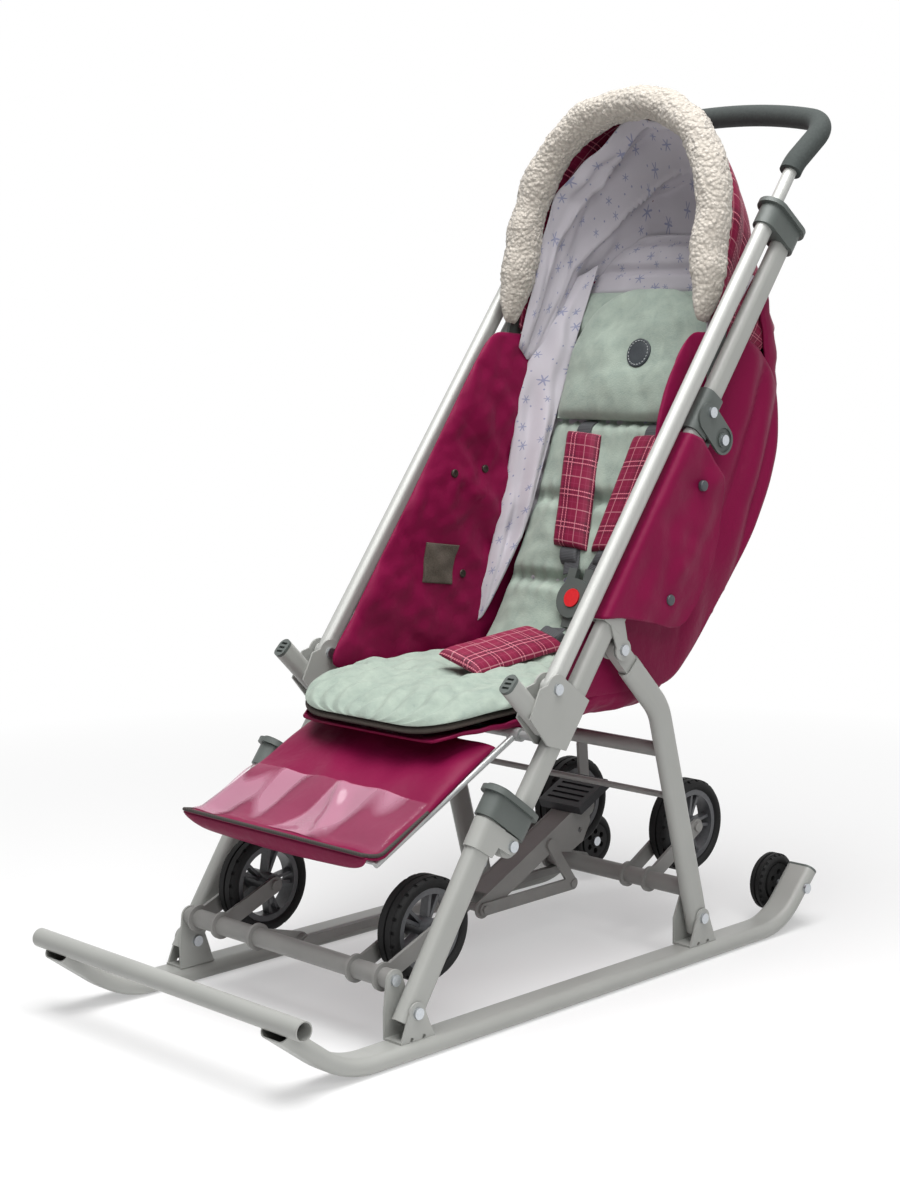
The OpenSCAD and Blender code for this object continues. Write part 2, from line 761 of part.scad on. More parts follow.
// Pressed plates on both sides of each upright, with the stop tube between them
module hub_plates() {
    plate_x = upright_t / 2 + fit;
    color("#a9aaa6") stand() both() {
        difference() {
            for (x = [side_x - plate_x - sheet, side_x + plate_x]) cheek(x, sheet)
                translate(hub_foot) rotate(upright_slope) {
                    polygon([
                        [16, -upright_d / 2 - 1], [16, tube_gap], [-14, 64], [-50, 58],
                        [-60, 15], [-50, -upright_d / 2 - 1]
                    ]);
                    translate([0, tube_gap]) circle(17);
                }
            across(side_x - upright_t, hub, 2 * upright_t, bolt_r + fit);
        }
        along(side_x, go(stop_foot, stop_slope, -stop_back), stop_slope)
            linear_extrude(stop_len + stop_back) oval_tube(upright_t, stop_d);
    }
}

module stop_caps() {
    color("#5d6060") stand() both() along(side_x, go(stop_foot, stop_slope, stop_len), stop_slope) difference() {
        linear_extrude(cap_t) oval(upright_t, stop_d);
        for (i = [-1:1]) translate([-5, i * 6 - 1.5, 1.5]) cube([10, 3, cap_t]);
    }
}

// Sheet clips bent round the fronts of the uprights, with ears for the rear legs
module rear_clips() {
    foot = go(knee, upright_slope, clip_along + 12);
    mid_band = go(foot, upright_slope, clip_band / 2);
    ear_t = sheet - 0.6;
    color("#a3a49f") stand() both() difference() {
        union() {
            along(side_x, foot, upright_slope) linear_extrude(clip_band) difference() {
                translate([-clip_in - sheet, -upright_d / 2 - fit - sheet])
                    square([2 * (clip_in + sheet), upright_d + sheet]);
                translate([-clip_in, -upright_d / 2 - fit]) square([2 * clip_in, 2 * upright_d]);
            }
            for (x = [side_x - clip_in - 0.3 - ear_t, side_x + clip_in + 0.3]) cheek(x, ear_t) {
                polygon([
                    go(mid_band, upright_slope, -16, -8), go(rear_clip, upright_slope, -ear_r),
                    go(rear_clip, upright_slope, ear_r), go(mid_band, upright_slope, 16, -8)
                ]);
                translate(rear_clip) circle(ear_r + 1);
            }
        }
        across(side_x - rear_d, rear_clip, 2 * rear_d, bolt_r + fit);
    }
}

// Handle bolts, and the rear clips' bolts, which stop at the inside of each ear
module frame_bolts() {
    half = upright_t / 2 + fit + sheet;
    color("#b9bdc0") stand() both() {
        bolt(hub, side_x - half, side_x + half);
        for (s = [-1, 1]) {
            face = side_x + s * (clip_in + sheet - 0.3);
            across(s > 0 ? face : face - bolt_head_h, rear_clip, bolt_head_h, bolt_head_r);
            across(s > 0 ? face - sheet + 0.6 : face, rear_clip, sheet - 0.6, bolt_r);
        }
        across(side_x + 13, go(knee, upright_slope, hood_along + 14), bolt_head_h, bolt_head_r);
        across(side_x + 13, hood_pivot, bolt_head_h, bolt_head_r);
    }
}

module footrest_bar() {
    half = side_x - upright_t / 2 - fit - sheet;
    color("#b3b5b4") stand() across(-half, footrest_hinge, 2 * half, hinge_r);
}

// Moulded sleeves on the uprights that carry the hood's pivots
module hood_brackets() {
    foot = go(knee, upright_slope, hood_along - 18);
    middle = go(knee, upright_slope, hood_along + 6);
    lobe_x = side_x + upright_t / 2 + sleeve_wall - 1;
    color("#55585a") stand() both() {
        difference() {
            along(side_x, foot, upright_slope) linear_extrude(sleeve_len)
                oval(upright_t + 2 * sleeve_wall, upright_d + 4 * sleeve_wall);
            along(side_x, go(foot, upright_slope, -20), upright_slope) linear_extrude(sleeve_len + 40)
                oval(upright_t + 2 * fit, upright_d + 2 * fit);
            cheek(lobe_x - seam, 20) strap(middle, hood_pivot, 36);
        }
        difference() {
            cheek(lobe_x, side_x + 13 - lobe_x) strap(middle, hood_pivot, 36 - 2 * seam);
            // Recess round the pivot bolt
            difference() {
                across(side_x + 11, hood_pivot, 4, 15);
                across(side_x + 10, hood_pivot, 6, 9);
            }
        }
        across(panel_x + panel_t + gap, hood_pivot, lobe_x + 1 - panel_x - panel_t, hood_pin_r);
    }
}

// Collar with a through bore for the tube that it slides on and a pocket over the other tube's end
module lock(bore, pocket, spacing) {
    far = abs(spacing) + pocket[1] / 2 + 0.8 + lock_wall;
    near = bore[1] / 2 + fit + lock_wall;
    middle = sign(spacing) * (far - near) / 2;
    difference() {
        union() {
            translate([0, middle, 0]) linear_extrude(lock_len) oval(lock_w, far + near);
            translate([0, middle, lock_len - 9]) linear_extrude(6)
                oval(lock_w + 2 * lock_lip, far + near + 2 * lock_lip);
        }
        translate([0, 0, -1]) linear_extrude(lock_len + 2) oval(bore[0] + 2 * fit, bore[1] + 2 * fit);
        translate([0, spacing, -1]) linear_extrude(lock_grip + 4) oval(pocket[0] + 1.2, pocket[1] + 1.6);
    }
}

module leg_lock(side) {
    color("#6a6d6b") stand() along(side * side_x, go(knee, upright_slope, leg_lock_along), upright_slope)
        lock([upright_t, upright_d], [leg_t, leg_d], -knee_behind - 0.8);
}

// Push handle

module handle_legs() {
    color("#c3c4c2") stand() both() difference() {
        union() {
            along(side_x, hub, upright_slope) linear_extrude(handle_leg_len) oval_tube(handle_t, handle_d);
            across(side_x - tongue_t / 2, hub, tongue_t, handle_d / 2);
        }
        across(side_x - handle_t, hub, 2 * handle_t, bolt_r + fit);
    }
}

// Half of the bow's line, carrying a round profile: straight, lean, corner and shallow arch
module bow_half(start) {
    turn = upright_slope - bow_slope;
    cut = bow_bend_r * tan(turn / 2);
    run = bow_bend_along - cut;
    bend_centre = go(hub, upright_slope, run, bow_bend_r);
    along(side_x, go(hub, upright_slope, start), upright_slope) linear_extrude(run - start - seam) children();
    translate([side_x, bend_centre[0], bend_centre[1]]) rotate([90, 0, 90]) rotate(bow_slope + 90)
        rotate_extrude(angle = turn) translate([bow_bend_r, 0]) children();
    along(side_x, go(bow_bend, bow_slope, cut + seam), bow_slope)
        linear_extrude(bow_lean - cut - 2 * seam) children();
    translate([0, bow_top[0], bow_top[1]]) rotate([bow_slope, 0, 0]) {
        translate([side_x - bow_corner_r, 0, 0]) rotate_extrude(angle = bow_corner)
            translate([bow_corner_r, 0]) children();
        translate([0, bow_reach - bow_arch_r, 0]) rotate(bow_corner + seam / 5)
            rotate_extrude(angle = 90 - bow_corner - 2 * seam / 5) translate([bow_arch_r, 0]) children();
    }
}

module handle_bow() {
    color("#c3c4c2") stand() both() bow_half(handle_leg_len) circle(bow_d / 2);
}

module handle_grip() {
    color("#5f6b66") stand() both() bow_half(grip_from) difference() {
        circle(grip_d / 2);
        circle(bow_d / 2 + fit);
    }
}

module handle_lock(side) {
    color("#6a6d6b") stand() along(side * side_x, go(hub, upright_slope, handle_lock_along), upright_slope)
        lock([handle_t, handle_d], [upright_t, upright_d], tube_gap);
}

// Footrest

module footrest_frame() {
    rods = [0.35, 0.65, 1];
    reach = footrest_len - 14;
    color("#b3b5b4") stand() {
        both() difference() {
            union() {
                along(wire_x, footrest_hinge, footrest_slope) cylinder(r = wire_r, h = reach);
                across(wire_x - 9, footrest_hinge, 18, hinge_r + 3);
            }
            across(wire_x - 10, footrest_hinge, 20, hinge_r + fit);
        }
        for (k = rods) across(-wire_x, go(footrest_hinge, footrest_slope, k * (reach - wire_r)), 2 * wire_x, wire_r - 0.8);
    }
}

// Point of the footrest pad: across, along the footrest, and above its frame
function footrest_point(x, s, h) = let(p = go(footrest_hinge, footrest_slope, s, h)) [x, p[0], p[1]];
function pad_rise(v) = pad_lip * pow(max(v - 0.9, 0) / 0.1, 2);
function pad_top(u, v) = pad_rise(v) + wire_r + gap + pad_t * (0.5 + 0.5 * hump(u, 8) * hump(v, 10));

module footrest_pad() {
    color("#7d1b45") stand() sheet_solid(12, 16,
        function(u, v) footrest_point(mix(-footrest_half, footrest_half, u), mix(pad_from, footrest_len, v), pad_top(u, v)),
        function(u, v) footrest_point(mix(-footrest_half, footrest_half, u), mix(pad_from, footrest_len, v),
            wire_r + gap + pad_rise(v) * 0.6));
}

module footrest_cover() {
    color("#d9a7bd", 0.5) stand() sheet_solid(10, 8,
        function(u, v) let(a = mix(0.03, 0.97, u), b = mix(0.5, 0.88, v))
            footrest_point(mix(-footrest_half, footrest_half, a), mix(pad_from, footrest_len, b), pad_top(a, b) + 2),
        function(u, v) let(a = mix(0.03, 0.97, u), b = mix(0.5, 0.88, v))
            footrest_point(mix(-footrest_half, footrest_half, a), mix(pad_from, footrest_len, b), pad_top(a, b) + 0.6));
}

// Seat

// Line of the seat shell from the front lip under the seat and up the back, t from 0 to 2
function shell_line(t) = t < 1 ? bezier(shell_floor, t) : bezier(shell_rear, t - 1);
function shell_heading(t) = heading(shell_line(max(t - 0.02, 0)), shell_line(min(t + 0.02, 2)));
function shell_point(x, t, inside) =
    let(sag = shell_sag * hump(x / seat_half / 2 + 0.5, 2) * sin(90 * t) * min(1, 6 * t))
    let(p = shell_line(t) + (sag - inside) * behind(shell_heading(t))) [x, p[0], p[1]];

module seat_shell() {
    color("#7d1b45") stand() sheet_solid(10, 26,
        function(u, v) shell_point(mix(-seat_half, seat_half, u), 2 * v, shell_skin),
        function(u, v) shell_point(mix(-seat_half, seat_half, u), 2 * v, 0));
}

// Seat cushion: crowned, drawn in at its edges, with sewn cross channels
function cushion_x(u, v, half) = mix(-half, half, u) * (1 - 0.05 * hump(v, 2));
function seat_point(x, s, h) = let(p = go(seat_foot, seat_slope, s, -h)) [x, p[0], p[1]];
function seat_height(x, s) = let(u = x / cushion_half / 2 + 0.5, v = s / seat_len)
    seat_thick * (0.35 + 0.65 * hump(u, 6) * hump(v, 8))
    - 3 * pow(abs(cos(180 * seat_channels * v)), 16) * hump(u, 4) * hump(v, 8);

module seat_cushion() {
    color("#8b9a8c") stand() sheet_solid(14, 18,
        function(u, v) let(x = cushion_x(u, v, cushion_half), s = v * seat_len) seat_point(x, s, seat_height(x, s)),
        function(u, v) seat_point(cushion_x(u, v, cushion_half), v * seat_len, 0));
}

// Point of the backrest: across, up its slope, and in front of the panel
function back_point(x, s, h) = let(p = go(back_foot, back_slope, s, -h)) [x, p[0], p[1]];

module back_panel() {
    color("#d8d4da") stand() along(0, go(back_foot, back_slope, 6), back_slope)
        translate([-board_half, 0, 0]) cube([2 * board_half, board_t, back_len]);
}

function back_height(x, s) = let(u = x / back_half / 2 + 0.5, v = s / back_len)
    gap + (back_thick - gap) * (0.35 + 0.65 * hump(u, 6) * hump(v, 10))
    - 3 * pow(abs(cos(180 * back_channels * v)), 16) * hump(u, 6) * hump(v, 10);

module back_cushion() {
    color("#8b9a8c") stand() sheet_solid(12, 30,
        function(u, v) let(x = cushion_x(u, v, back_half), s = v * back_len) back_point(x, s, back_height(x, s)),
        function(u, v) back_point(cushion_x(u, v, back_half), v * back_len, gap));
}

// Pillow on the upper back, with a rounded top
function pillow_x(u, v) = mix(-pillow_half, pillow_half, u) * (v < 0.6 ? 1 : sqrt(1 - 0.7 * pow((v - 0.6) / 0.4, 2)));

module head_pillow() {
    color("#8b9a8c") stand() sheet_solid(14, 14,
        function(u, v) let(x = pillow_x(u, v), s = pillow_from + v * pillow_len)
            back_point(x, s, back_thick + gap + pillow_thick * (0.3 + 0.7 * hump(u, 4) * hump(v, 6))),
        function(u, v) back_point(pillow_x(u, v), pillow_from + v * pillow_len, back_thick + gap));
}

// Padded inner sides between the seat shell and the uprights
module side_panels() {
    color("#7d1b45") stand() both() cheek(panel_x, panel_t) translate(knee) polygon([
        [78.9, 145.8], [133.9, 259.8], [218.9, 375.8], [279.9, 474.8], [311.9, 525.8], [336.9, 552.8],
        [361.9, 564.8], [442.9, 563.8], [500.9, 535.8], [532.9, 483.8], [514.9, 383.8], [458.9, 283.8], [350.9, 165.8], [310.9, 138.8]
    ]);
}

// Flaps that wrap the uprights and close over their outer faces
module side_flaps() {
    inside = panel_x + panel_t + gap;
    color("#7d1b45") stand() both() {
        cheek(flap_x, flap_t)
            translate(knee) polygon([
                [140.9, 245.8], [180.9, 237.8], [240.9, 225.8], [277.9, 217.8], [302.9, 222.8],
                [334.9, 263.8], [362.9, 330.8], [367.9, 386.8], [338.9, 432.8], [293.9, 450.8]
            ]);
        along(0, go(knee, upright_slope, 290), upright_slope) translate([inside, -flap_web - 3, 0])
            cube([flap_x - inside, 3, 245]);
    }
}

// Harness

function pad_line(v) = [mix(62, 36, v), mix(259, 111, v)];
function shoulder_point(u, v, h) = let(c = pad_line(v), x = c[0] + mix(-25, 25, u))
    back_point(x, c[1], back_height(x, c[1]) + gap + h);
// Hip pads lie on the seat cushion and run out from the buckle
function hip_point(u, v, h) = let(x = mix(30, 92, v) + mix(-8, 8, u), s = mix(262, 140, v) + mix(-22, 22, u))
    seat_point(x, s, seat_height(x, s) + gap + h);

module harness_pads() {
    color("#8a2350") stand() both() {
        sheet_solid(4, 8,
            function(u, v) shoulder_point(u, 1 - v, pad_lift + 3 + 10 * hump(u, 4)),
            function(u, v) shoulder_point(u, 1 - v, pad_lift));
        sheet_solid(4, 8,
            function(u, v) hip_point(1 - u, v, hip_lift + 3 + 8 * hump(u, 4)),
            function(u, v) hip_point(1 - u, v, hip_lift));
    }
}

// A short length of webbing on the back cushion
module webbing(from, to) {
    sheet_solid(2, 6,
        function(u, v) let(p = mix(from, to, v), x = p[0] + mix(-12, 12, u))
            back_point(x, p[1], back_height(x, p[1]) + gap + 2),
        function(u, v) let(p = mix(from, to, v), x = p[0] + mix(-12, 12, u))
            back_point(x, p[1], back_height(x, p[1]) + gap));
}

module harness_straps() {
    color("#3a3b3c") stand() {
        both() {
            webbing([62, 262], [62, 282]);
            webbing([26, buckle_s + buckle_r + 17], [34, 108]);
        }
        sheet_solid(2, 6,
            function(u, v) let(x = mix(-12, 12, u), s = mix(180, 284, v)) seat_point(x, s, seat_height(x, s) + gap + pad_lift + 2.2),
            function(u, v) let(x = mix(-12, 12, u), s = mix(180, 284, v)) seat_point(x, s, seat_height(x, s) + gap + pad_lift + 0.2));
    }
}

module buckle() {
    color("#3c3f41") stand() along(0, go(back_foot, back_slope, buckle_s, -buckle_h), back_slope)
        rotate([90, 0, 0]) difference() {
            union() {
                cylinder(r = buckle_r, h = buckle_t);
                for (s = [-1, 1]) translate([s * 14 - 7, 14, 0]) cube([14, 26, buckle_t - 4]);
                translate([-11, -38, 0]) cube([22, 24, buckle_t - 4]);
            }
            translate([0, 0, buckle_t - 6]) cylinder(r = button_r + gap, h = 7);
        }
}

module buckle_button() {
    color("#d0171c") stand() along(0, go(back_foot, back_slope, buckle_s, -buckle_h), back_slope)
        rotate([90, 0, 0]) translate([0, 0, buckle_t - 2.6]) cylinder(r = button_r, h = 4.4);
}

// Hood

module hood_arms() {
    color("#3f4244") stand() both() difference() {
        cheek(arm_x, arm_plate) {
            strap(hood_pivot, go(hood_pivot, hood_slope, hood_foot_r - gap - 11), 22);
            translate(hood_pivot) circle(14);
        }
        across(arm_x - 1, hood_pivot, arm_plate + 2, hood_pin_r + fit);
    }
}

// Arch of the hood in a plane through its pivot: t from 0 to 180, side to side
function fleece_centre(t) = let(p = go(hood_pivot, hood_slope, mix(hood_foot_r, hood_r, sin(t))))
    [-hood_half * cos(t), p[0], p[1]];
function fleece_ring(t, a, r) =
    let(d = fleece_centre(min(t + 1, 180)) - fleece_centre(max(t - 1, 0)))
    let(back = [0, behind(hood_slope)[0], behind(hood_slope)[1]], out = cross(d, back) / norm(cross(d, back)))
    fleece_centre(t) + r * (cos(a) * out + sin(a) * back);

module hood_fleece() {
    rings = 32;
    sides = 10;
    points = [for (i = [0:rings], k = [0:sides - 1]) fleece_ring(i * 180 / rings, k * 360 / sides, fleece_r)];
    at = function(i, k) i * sides + k % sides;
    faces = concat(
        [for (i = [0:rings - 1], k = [0:sides - 1]) [at(i, k), at(i + 1, k), at(i + 1, k + 1)]],
        [for (i = [0:rings - 1], k = [0:sides - 1]) [at(i, k), at(i + 1, k + 1), at(i, k + 1)]],
        [for (k = [1:sides - 2]) [at(0, 0), at(0, k), at(0, k + 1)]],
        [for (k = [1:sides - 2]) [at(rings, 0), at(rings, k + 1), at(rings, k)]]
    );
    color("#e9e4da") stand() polyhedron(points, faces);
}

// Canopy from the fleece back towards the top of the seat shell
function canopy_point(u, v, inside) =
    let(t = mix(0, 180, u), h = mix(hood_slope, hood_rear_slope, v), half = hood_half - 6 * v - inside)
    let(foot = hood_foot_r - 10 * v, top = hood_r - canopy_drop - 90 * v * v - inside)
    let(p = go(hood_pivot, h, mix(foot, top, pow(sin(t), 0.75))) + (fleece_r - 0.7) * behind(hood_slope))
    [-half * cos(t), p[0], p[1]];

module hood_canopy() {
    color("#8a2350") stand() sheet_solid(24, 8,
        function(u, v) canopy_point(1 - u, v, 0),
        function(u, v) canopy_point(1 - u, v, hood_skin));
}

runner(1);  // runner_left
runner(-1);  // runner_right
nose_bar();
runner_caps();
leg_brackets();
base_bolts();
axle_tube(front_axle_at, front_wheel_at, front_wheel_x, front_arm_off);  // front_axle
front_forks();
axle_tube(rear_axle_at, rear_wheel_at, rear_wheel_x, rear_arm_off);  // rear_axle
rear_forks();
connecting_rod();
pedal_lever();
pedal();
front_tyre(1);  // front_tyre_left
front_rim(1);  // front_rim_left
front_tyre(-1);  // front_tyre_right
front_rim(-1);  // front_rim_right
rear_tyre(1);  // rear_tyre_left
rear_rim(1);  // rear_rim_left
rear_tyre(-1);  // rear_tyre_right
rear_rim(-1);  // rear_rim_right
transport_wheel(1);  // transport_wheel_left
transport_wheel(-1);  // transport_wheel_right
lower_legs();
knee_clips();
knee_bolts();
rear_legs();
rear_bars();
uprights();
hub_plates();
stop_caps();
rear_clips();
frame_bolts();
footrest_bar();
hood_brackets();
leg_lock(1);  // leg_lock_left
leg_lock(-1);  // leg_lock_right
handle_legs();
handle_bow();
handle_grip();
handle_lock(1);  // handle_lock_left
handle_lock(-1);  // handle_lock_right
footrest_frame();
footrest_pad();
footrest_cover();
seat_shell();
seat_cushion();
back_panel();
back_cushion();
head_pillow();
side_panels();
side_flaps();
harness_pads();
harness_straps();
buckle();
buckle_button();
hood_arms();
hood_fleece();
hood_canopy();
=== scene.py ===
import json
import bmesh
import bpy
import numpy as np
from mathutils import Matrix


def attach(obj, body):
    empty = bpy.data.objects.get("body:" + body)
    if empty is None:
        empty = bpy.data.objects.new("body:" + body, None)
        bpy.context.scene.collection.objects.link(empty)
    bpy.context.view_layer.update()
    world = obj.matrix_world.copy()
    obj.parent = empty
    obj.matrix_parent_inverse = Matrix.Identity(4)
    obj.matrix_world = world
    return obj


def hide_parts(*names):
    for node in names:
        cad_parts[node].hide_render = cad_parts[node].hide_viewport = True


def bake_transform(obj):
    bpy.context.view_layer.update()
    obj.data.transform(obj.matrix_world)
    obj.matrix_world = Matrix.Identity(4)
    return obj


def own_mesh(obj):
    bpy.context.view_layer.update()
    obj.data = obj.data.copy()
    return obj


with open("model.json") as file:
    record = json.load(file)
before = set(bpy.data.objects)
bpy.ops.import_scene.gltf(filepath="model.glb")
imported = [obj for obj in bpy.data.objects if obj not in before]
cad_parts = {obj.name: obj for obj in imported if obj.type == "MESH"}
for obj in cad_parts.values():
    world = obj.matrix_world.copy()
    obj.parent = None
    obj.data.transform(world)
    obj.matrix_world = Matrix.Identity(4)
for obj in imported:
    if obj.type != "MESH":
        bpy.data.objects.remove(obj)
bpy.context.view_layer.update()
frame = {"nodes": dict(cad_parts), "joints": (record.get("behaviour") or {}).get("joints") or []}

# Runners: two flat-oval steel tubes, bent up at both ends and joined by a cross bar at the tips.
# Folded steel brackets stand on them and carry the legs. All of it is powder coated light grey,
# which gives a satin skin with a slight orange peel; the soles are scuffed the way they slide.


def srgb(code):
    """Linear colour of an sRGB hex value."""
    v = np.array([int(code[i:i + 2], 16) for i in (0, 2, 4)]) / 255.0
    return (*np.where(v <= 0.04045, v / 12.92, ((v + 0.055) / 1.055) ** 2.4).tolist(), 1.0)


def adder(tree):
    """The function that adds nodes to a tree."""
    def add(kind, choice=None, **inputs):
        """Adds a node, with the choice its kind offers. Each input is a value, a colour in hex, a socket, or
        a node for the first of its outputs in use; _ is a space in its name, and _6 the input at place 6."""
        node = tree.nodes.new("ShaderNode" + kind)
        if choice:
            setattr(node, {"Math": "operation", "VectorMath": "operation", "Mix": "data_type",
                           "Bump": "invert", "TexWave": "bands_direction", "TexNoise": "noise_dimensions",
                           "TexVoronoi": "voronoi_dimensions"}[kind], choice)
        for key, value in inputs.items():
            key = key.replace("_", " ").strip()
            socket = node.inputs[int(key) if key.isdigit() else key]
            if isinstance(value, bpy.types.Node):
                value = next(o for o in value.outputs if o.enabled)
            if isinstance(value, bpy.types.NodeSocket):
                tree.links.new(value, socket)
            else:
                socket.default_value = srgb(value) if isinstance(value, str) else value
        return node
    return add


def blank(name):
    """An empty material, the function that adds nodes to it, and its coordinate outputs."""
    m = bpy.data.materials.new(name)
    m.use_nodes = True
    m.node_tree.nodes.clear()
    add = adder(m.node_tree)
    return m, add, add("TexCoord").outputs


def dress(finish, *names):
    """Puts a finish in every material slot of the named CAD nodes."""
    for name in names:
        for place in frame["nodes"][name].material_slots:
            place.material = finish


powder_coat, add, at = blank("powder_coated_steel")
# The orange peel is about 1.5 mm across, drawn at 4 mm so that it shows; the grey drifts over 70 mm.
peel = add("TexNoise", Vector=at["Object"], Scale=250.0, Detail=2.0)
drift = add("TexNoise", Vector=at["Object"], Scale=14.0, Detail=3.0)
grey = add("Mix", "RGBA", _0=drift, _6="9d9e9a", _7="aaaba7")
# Scuffs up to 5 mm above the ground, 1 mm wide and about 80 mm long.
high = add("SeparateXYZ", Vector=at["Object"])
low = add("MapRange", Value=high.outputs["Z"], From_Min=0.001, From_Max=0.005, To_Min=1.0, To_Max=0.0)
streak = add("Mapping", Vector=at["Object"], Scale=(900.0, 12.0, 900.0))
scratch = add("TexNoise", Vector=streak, Scale=1.0, Detail=3.0)
scuff = add("Math", "MULTIPLY", _0=low, _1=scratch)
worn = add("Mix", "RGBA", _0=scuff, _6=grey, _7="d2d3d1")
bump = add("Bump", Strength=0.12, Distance=0.0004, Height=peel)
skin = add("BsdfPrincipled", Base_Color=worn, Roughness=0.42, Normal=bump)
add("OutputMaterial", Surface=skin)
dress(powder_coat, "runner_left", "runner_right", "nose_bar", "leg_brackets")

# Bolts, nuts and spacers: turned steel, zinc plated, which leaves a bluish satin grey with a faint
# spangle of about 2.4 mm.
zinc, add, at = blank("zinc_plated_steel")
spangle = add("TexNoise", Vector=at["Object"], Scale=420.0, Detail=3.0)
tone = add("Mix", "RGBA", _0=spangle, _6="aeb4ba", _7="d6d9dc")
rough = add("MapRange", Value=spangle, To_Min=0.28, To_Max=0.45)
skin = add("BsdfPrincipled", Base_Color=tone, Metallic=1.0, Roughness=rough)
add("OutputMaterial", Surface=skin)
dress(zinc, "base_bolts", "knee_bolts", "frame_bolts")

# Wheel axles, forks, connecting rod and pedal lever: pressed and welded steel in a darker grey coat,
# with road dust in fields of 45 mm where nothing rubs it off. The orange peel is drawn at 3 mm.


def plain(name, dark, light, *grains, bump=None, **surface):
    """A plain finish: two colours mixed by the first grain, and a bump from the last, with its strength and
    depth in metres. A grain is a noise, by its scale per metre and detail, or threads, by their scale,
    direction and coordinates."""
    finish, add, at = blank(name)
    fields = [add("TexWave", form, Vector=at[on[0]], Scale=scale).outputs[1] if on else
              add("TexNoise", Vector=at["Object"], Scale=scale, Detail=form) for scale, form, *on in grains]
    tone = add("Mix", "RGBA", _0=fields[0], _6=dark, _7=light)
    if bump:
        surface["Normal"] = add("Bump", Strength=bump[0], Distance=bump[1], Height=fields[-1])
    skin = add("BsdfPrincipled", Base_Color=tone, **surface)
    add("OutputMaterial", Surface=skin)
    return finish


dark_coat = plain("dark_powder_coated_steel", "7f7e7c", "989794", (22.0, 4.0), (300.0, 2.0),
                  bump=(0.15, 0.0004), Roughness=0.5)
dress(dark_coat, "front_axle", "front_forks", "rear_axle", "rear_forks", "connecting_rod", "pedal_lever",
      "rear_bars")

# Pedal: a ribbed tread moulded in black polypropylene, screwed to the lever. Its eroded grain is drawn
# at 3 mm so that it shows.
black_plastic = plain("moulded_black_polypropylene", "17171a", "28282b", (350.0, 3.0), bump=(0.3, 0.0005),
                      Roughness=0.55)
dress(black_plastic, "pedal")

# Road wheels: solid rubber tyres with moulded lugs on five-spoke grey centres, and two small solid
# wheels behind the runners. The rubber is matt black with a pale bloom over 20 mm and a grit of 2 mm,
# and the centres have a moulded grain, drawn at 4 mm so that it shows.
rubber = plain("moulded_tyre_rubber", "0c0c0d", "1d1d1d", (45.0, 5.0), (500.0, 2.0), bump=(0.35, 0.0005),
               Roughness=0.72, Specular_IOR_Level=0.3)
wheels = [end + "_%s_" + side for end in ("front", "rear") for side in ("left", "right")]
dress(rubber, *(w % "tyre" for w in wheels), "transport_wheel_left", "transport_wheel_right")
rim_plastic = plain("moulded_grey_polyamide", "47484b", "5f6063", (260.0, 3.0), bump=(0.15, 0.0004),
                    Roughness=0.4)
dress(rim_plastic, *(w % "rim" for w in wheels))

# Folding legs, uprights and their clips: flat-oval steel tubes and bent sheet, bolted at the hinges, in
# the runners' coat.
dress(powder_coat, "lower_legs", "knee_clips", "rear_legs", "uprights", "hub_plates", "rear_clips")

# Locking collars, hood brackets, stop caps, runner plugs and hood arms: moulded in a grey-green
# polyamide with a spark-eroded grain, drawn at 3 mm, in a colour that drifts over 30 mm.
collar_plastic = plain("moulded_grey_green_polyamide", "4a504d", "5b615e", (30.0, 2.0), (320.0, 4.0),
                       bump=(0.25, 0.0004), Roughness=0.48)
dress(collar_plastic, "runner_caps", "stop_caps", "hood_brackets", "hood_arms", "leg_lock_left",
      "leg_lock_right", "handle_lock_left", "handle_lock_right")

# Push handle: drawn aluminium legs and bow, anodised satin, with a foam sleeve over the bow. The lines
# of drawing are 1.4 mm wide and 110 mm long, along the legs.
anodised, add, at = blank("satin_anodised_aluminium")
drawn = add("Mapping", Vector=at["Object"], Rotation=(np.radians(-36.5), 0, 0), Scale=(700.0, 700.0, 9.0))
lines = add("TexNoise", Vector=drawn, Scale=1.0, Detail=3.0)
tone = add("Mix", "RGBA", _0=lines, _6="aaaba8", _7="bcbdb9")
rough = add("MapRange", Value=lines, To_Min=0.36, To_Max=0.5)
skin = add("BsdfPrincipled", Base_Color=tone, Metallic=0.25, Roughness=rough)
add("OutputMaterial", Surface=skin)
dress(anodised, "handle_legs", "handle_bow")

# Foam cells of 1 mm, drawn at 3 mm so that they show.
foam = plain("closed_cell_foam", "2d3231", "414745", (330.0, 3.0), bump=(0.5, 0.0006), Roughness=0.88)
dress(foam, "handle_grip")

# Footrest: a welded wire frame with a burgundy nylon pad. The pad has a dark piping round its front
# edge, and a clear film is sewn over its front half against wet boots.
wire = plain("zinc_painted_wire", "a4a6a6", "c0c2c1", (60.0, 3.0), Metallic=0.35, Roughness=0.35)
dress(wire, "footrest_frame", "footrest_bar")

# Stations of the side view are in mm from the sole's middle; the leg's pivot is at 41.
mid = 41.0 - 1000.0 * next(j for j in frame["joints"] if j["name"] == "frame_fold")["pos_m"][1]
knee, upright_slope = (189.11, 206.2), 53.5


def go(p, slope, along, back=0.0):
    """Station and height of a point: from p along a heading in degrees, then back square to it."""
    a = np.radians(slope)
    return (p[0] + along * np.cos(a) + back * np.sin(a), p[1] + along * np.sin(a) - back * np.cos(a))


def mix(a, b, t):
    """Value that goes evenly from a to b as t goes from 0 to 1."""
    return a + (b - a) * t


def ramp(x, a, b):
    """0 up to a, 1 from b on, and an even slope between; b may lie below a."""
    return np.clip((x - a) / (b - a), 0, 1)


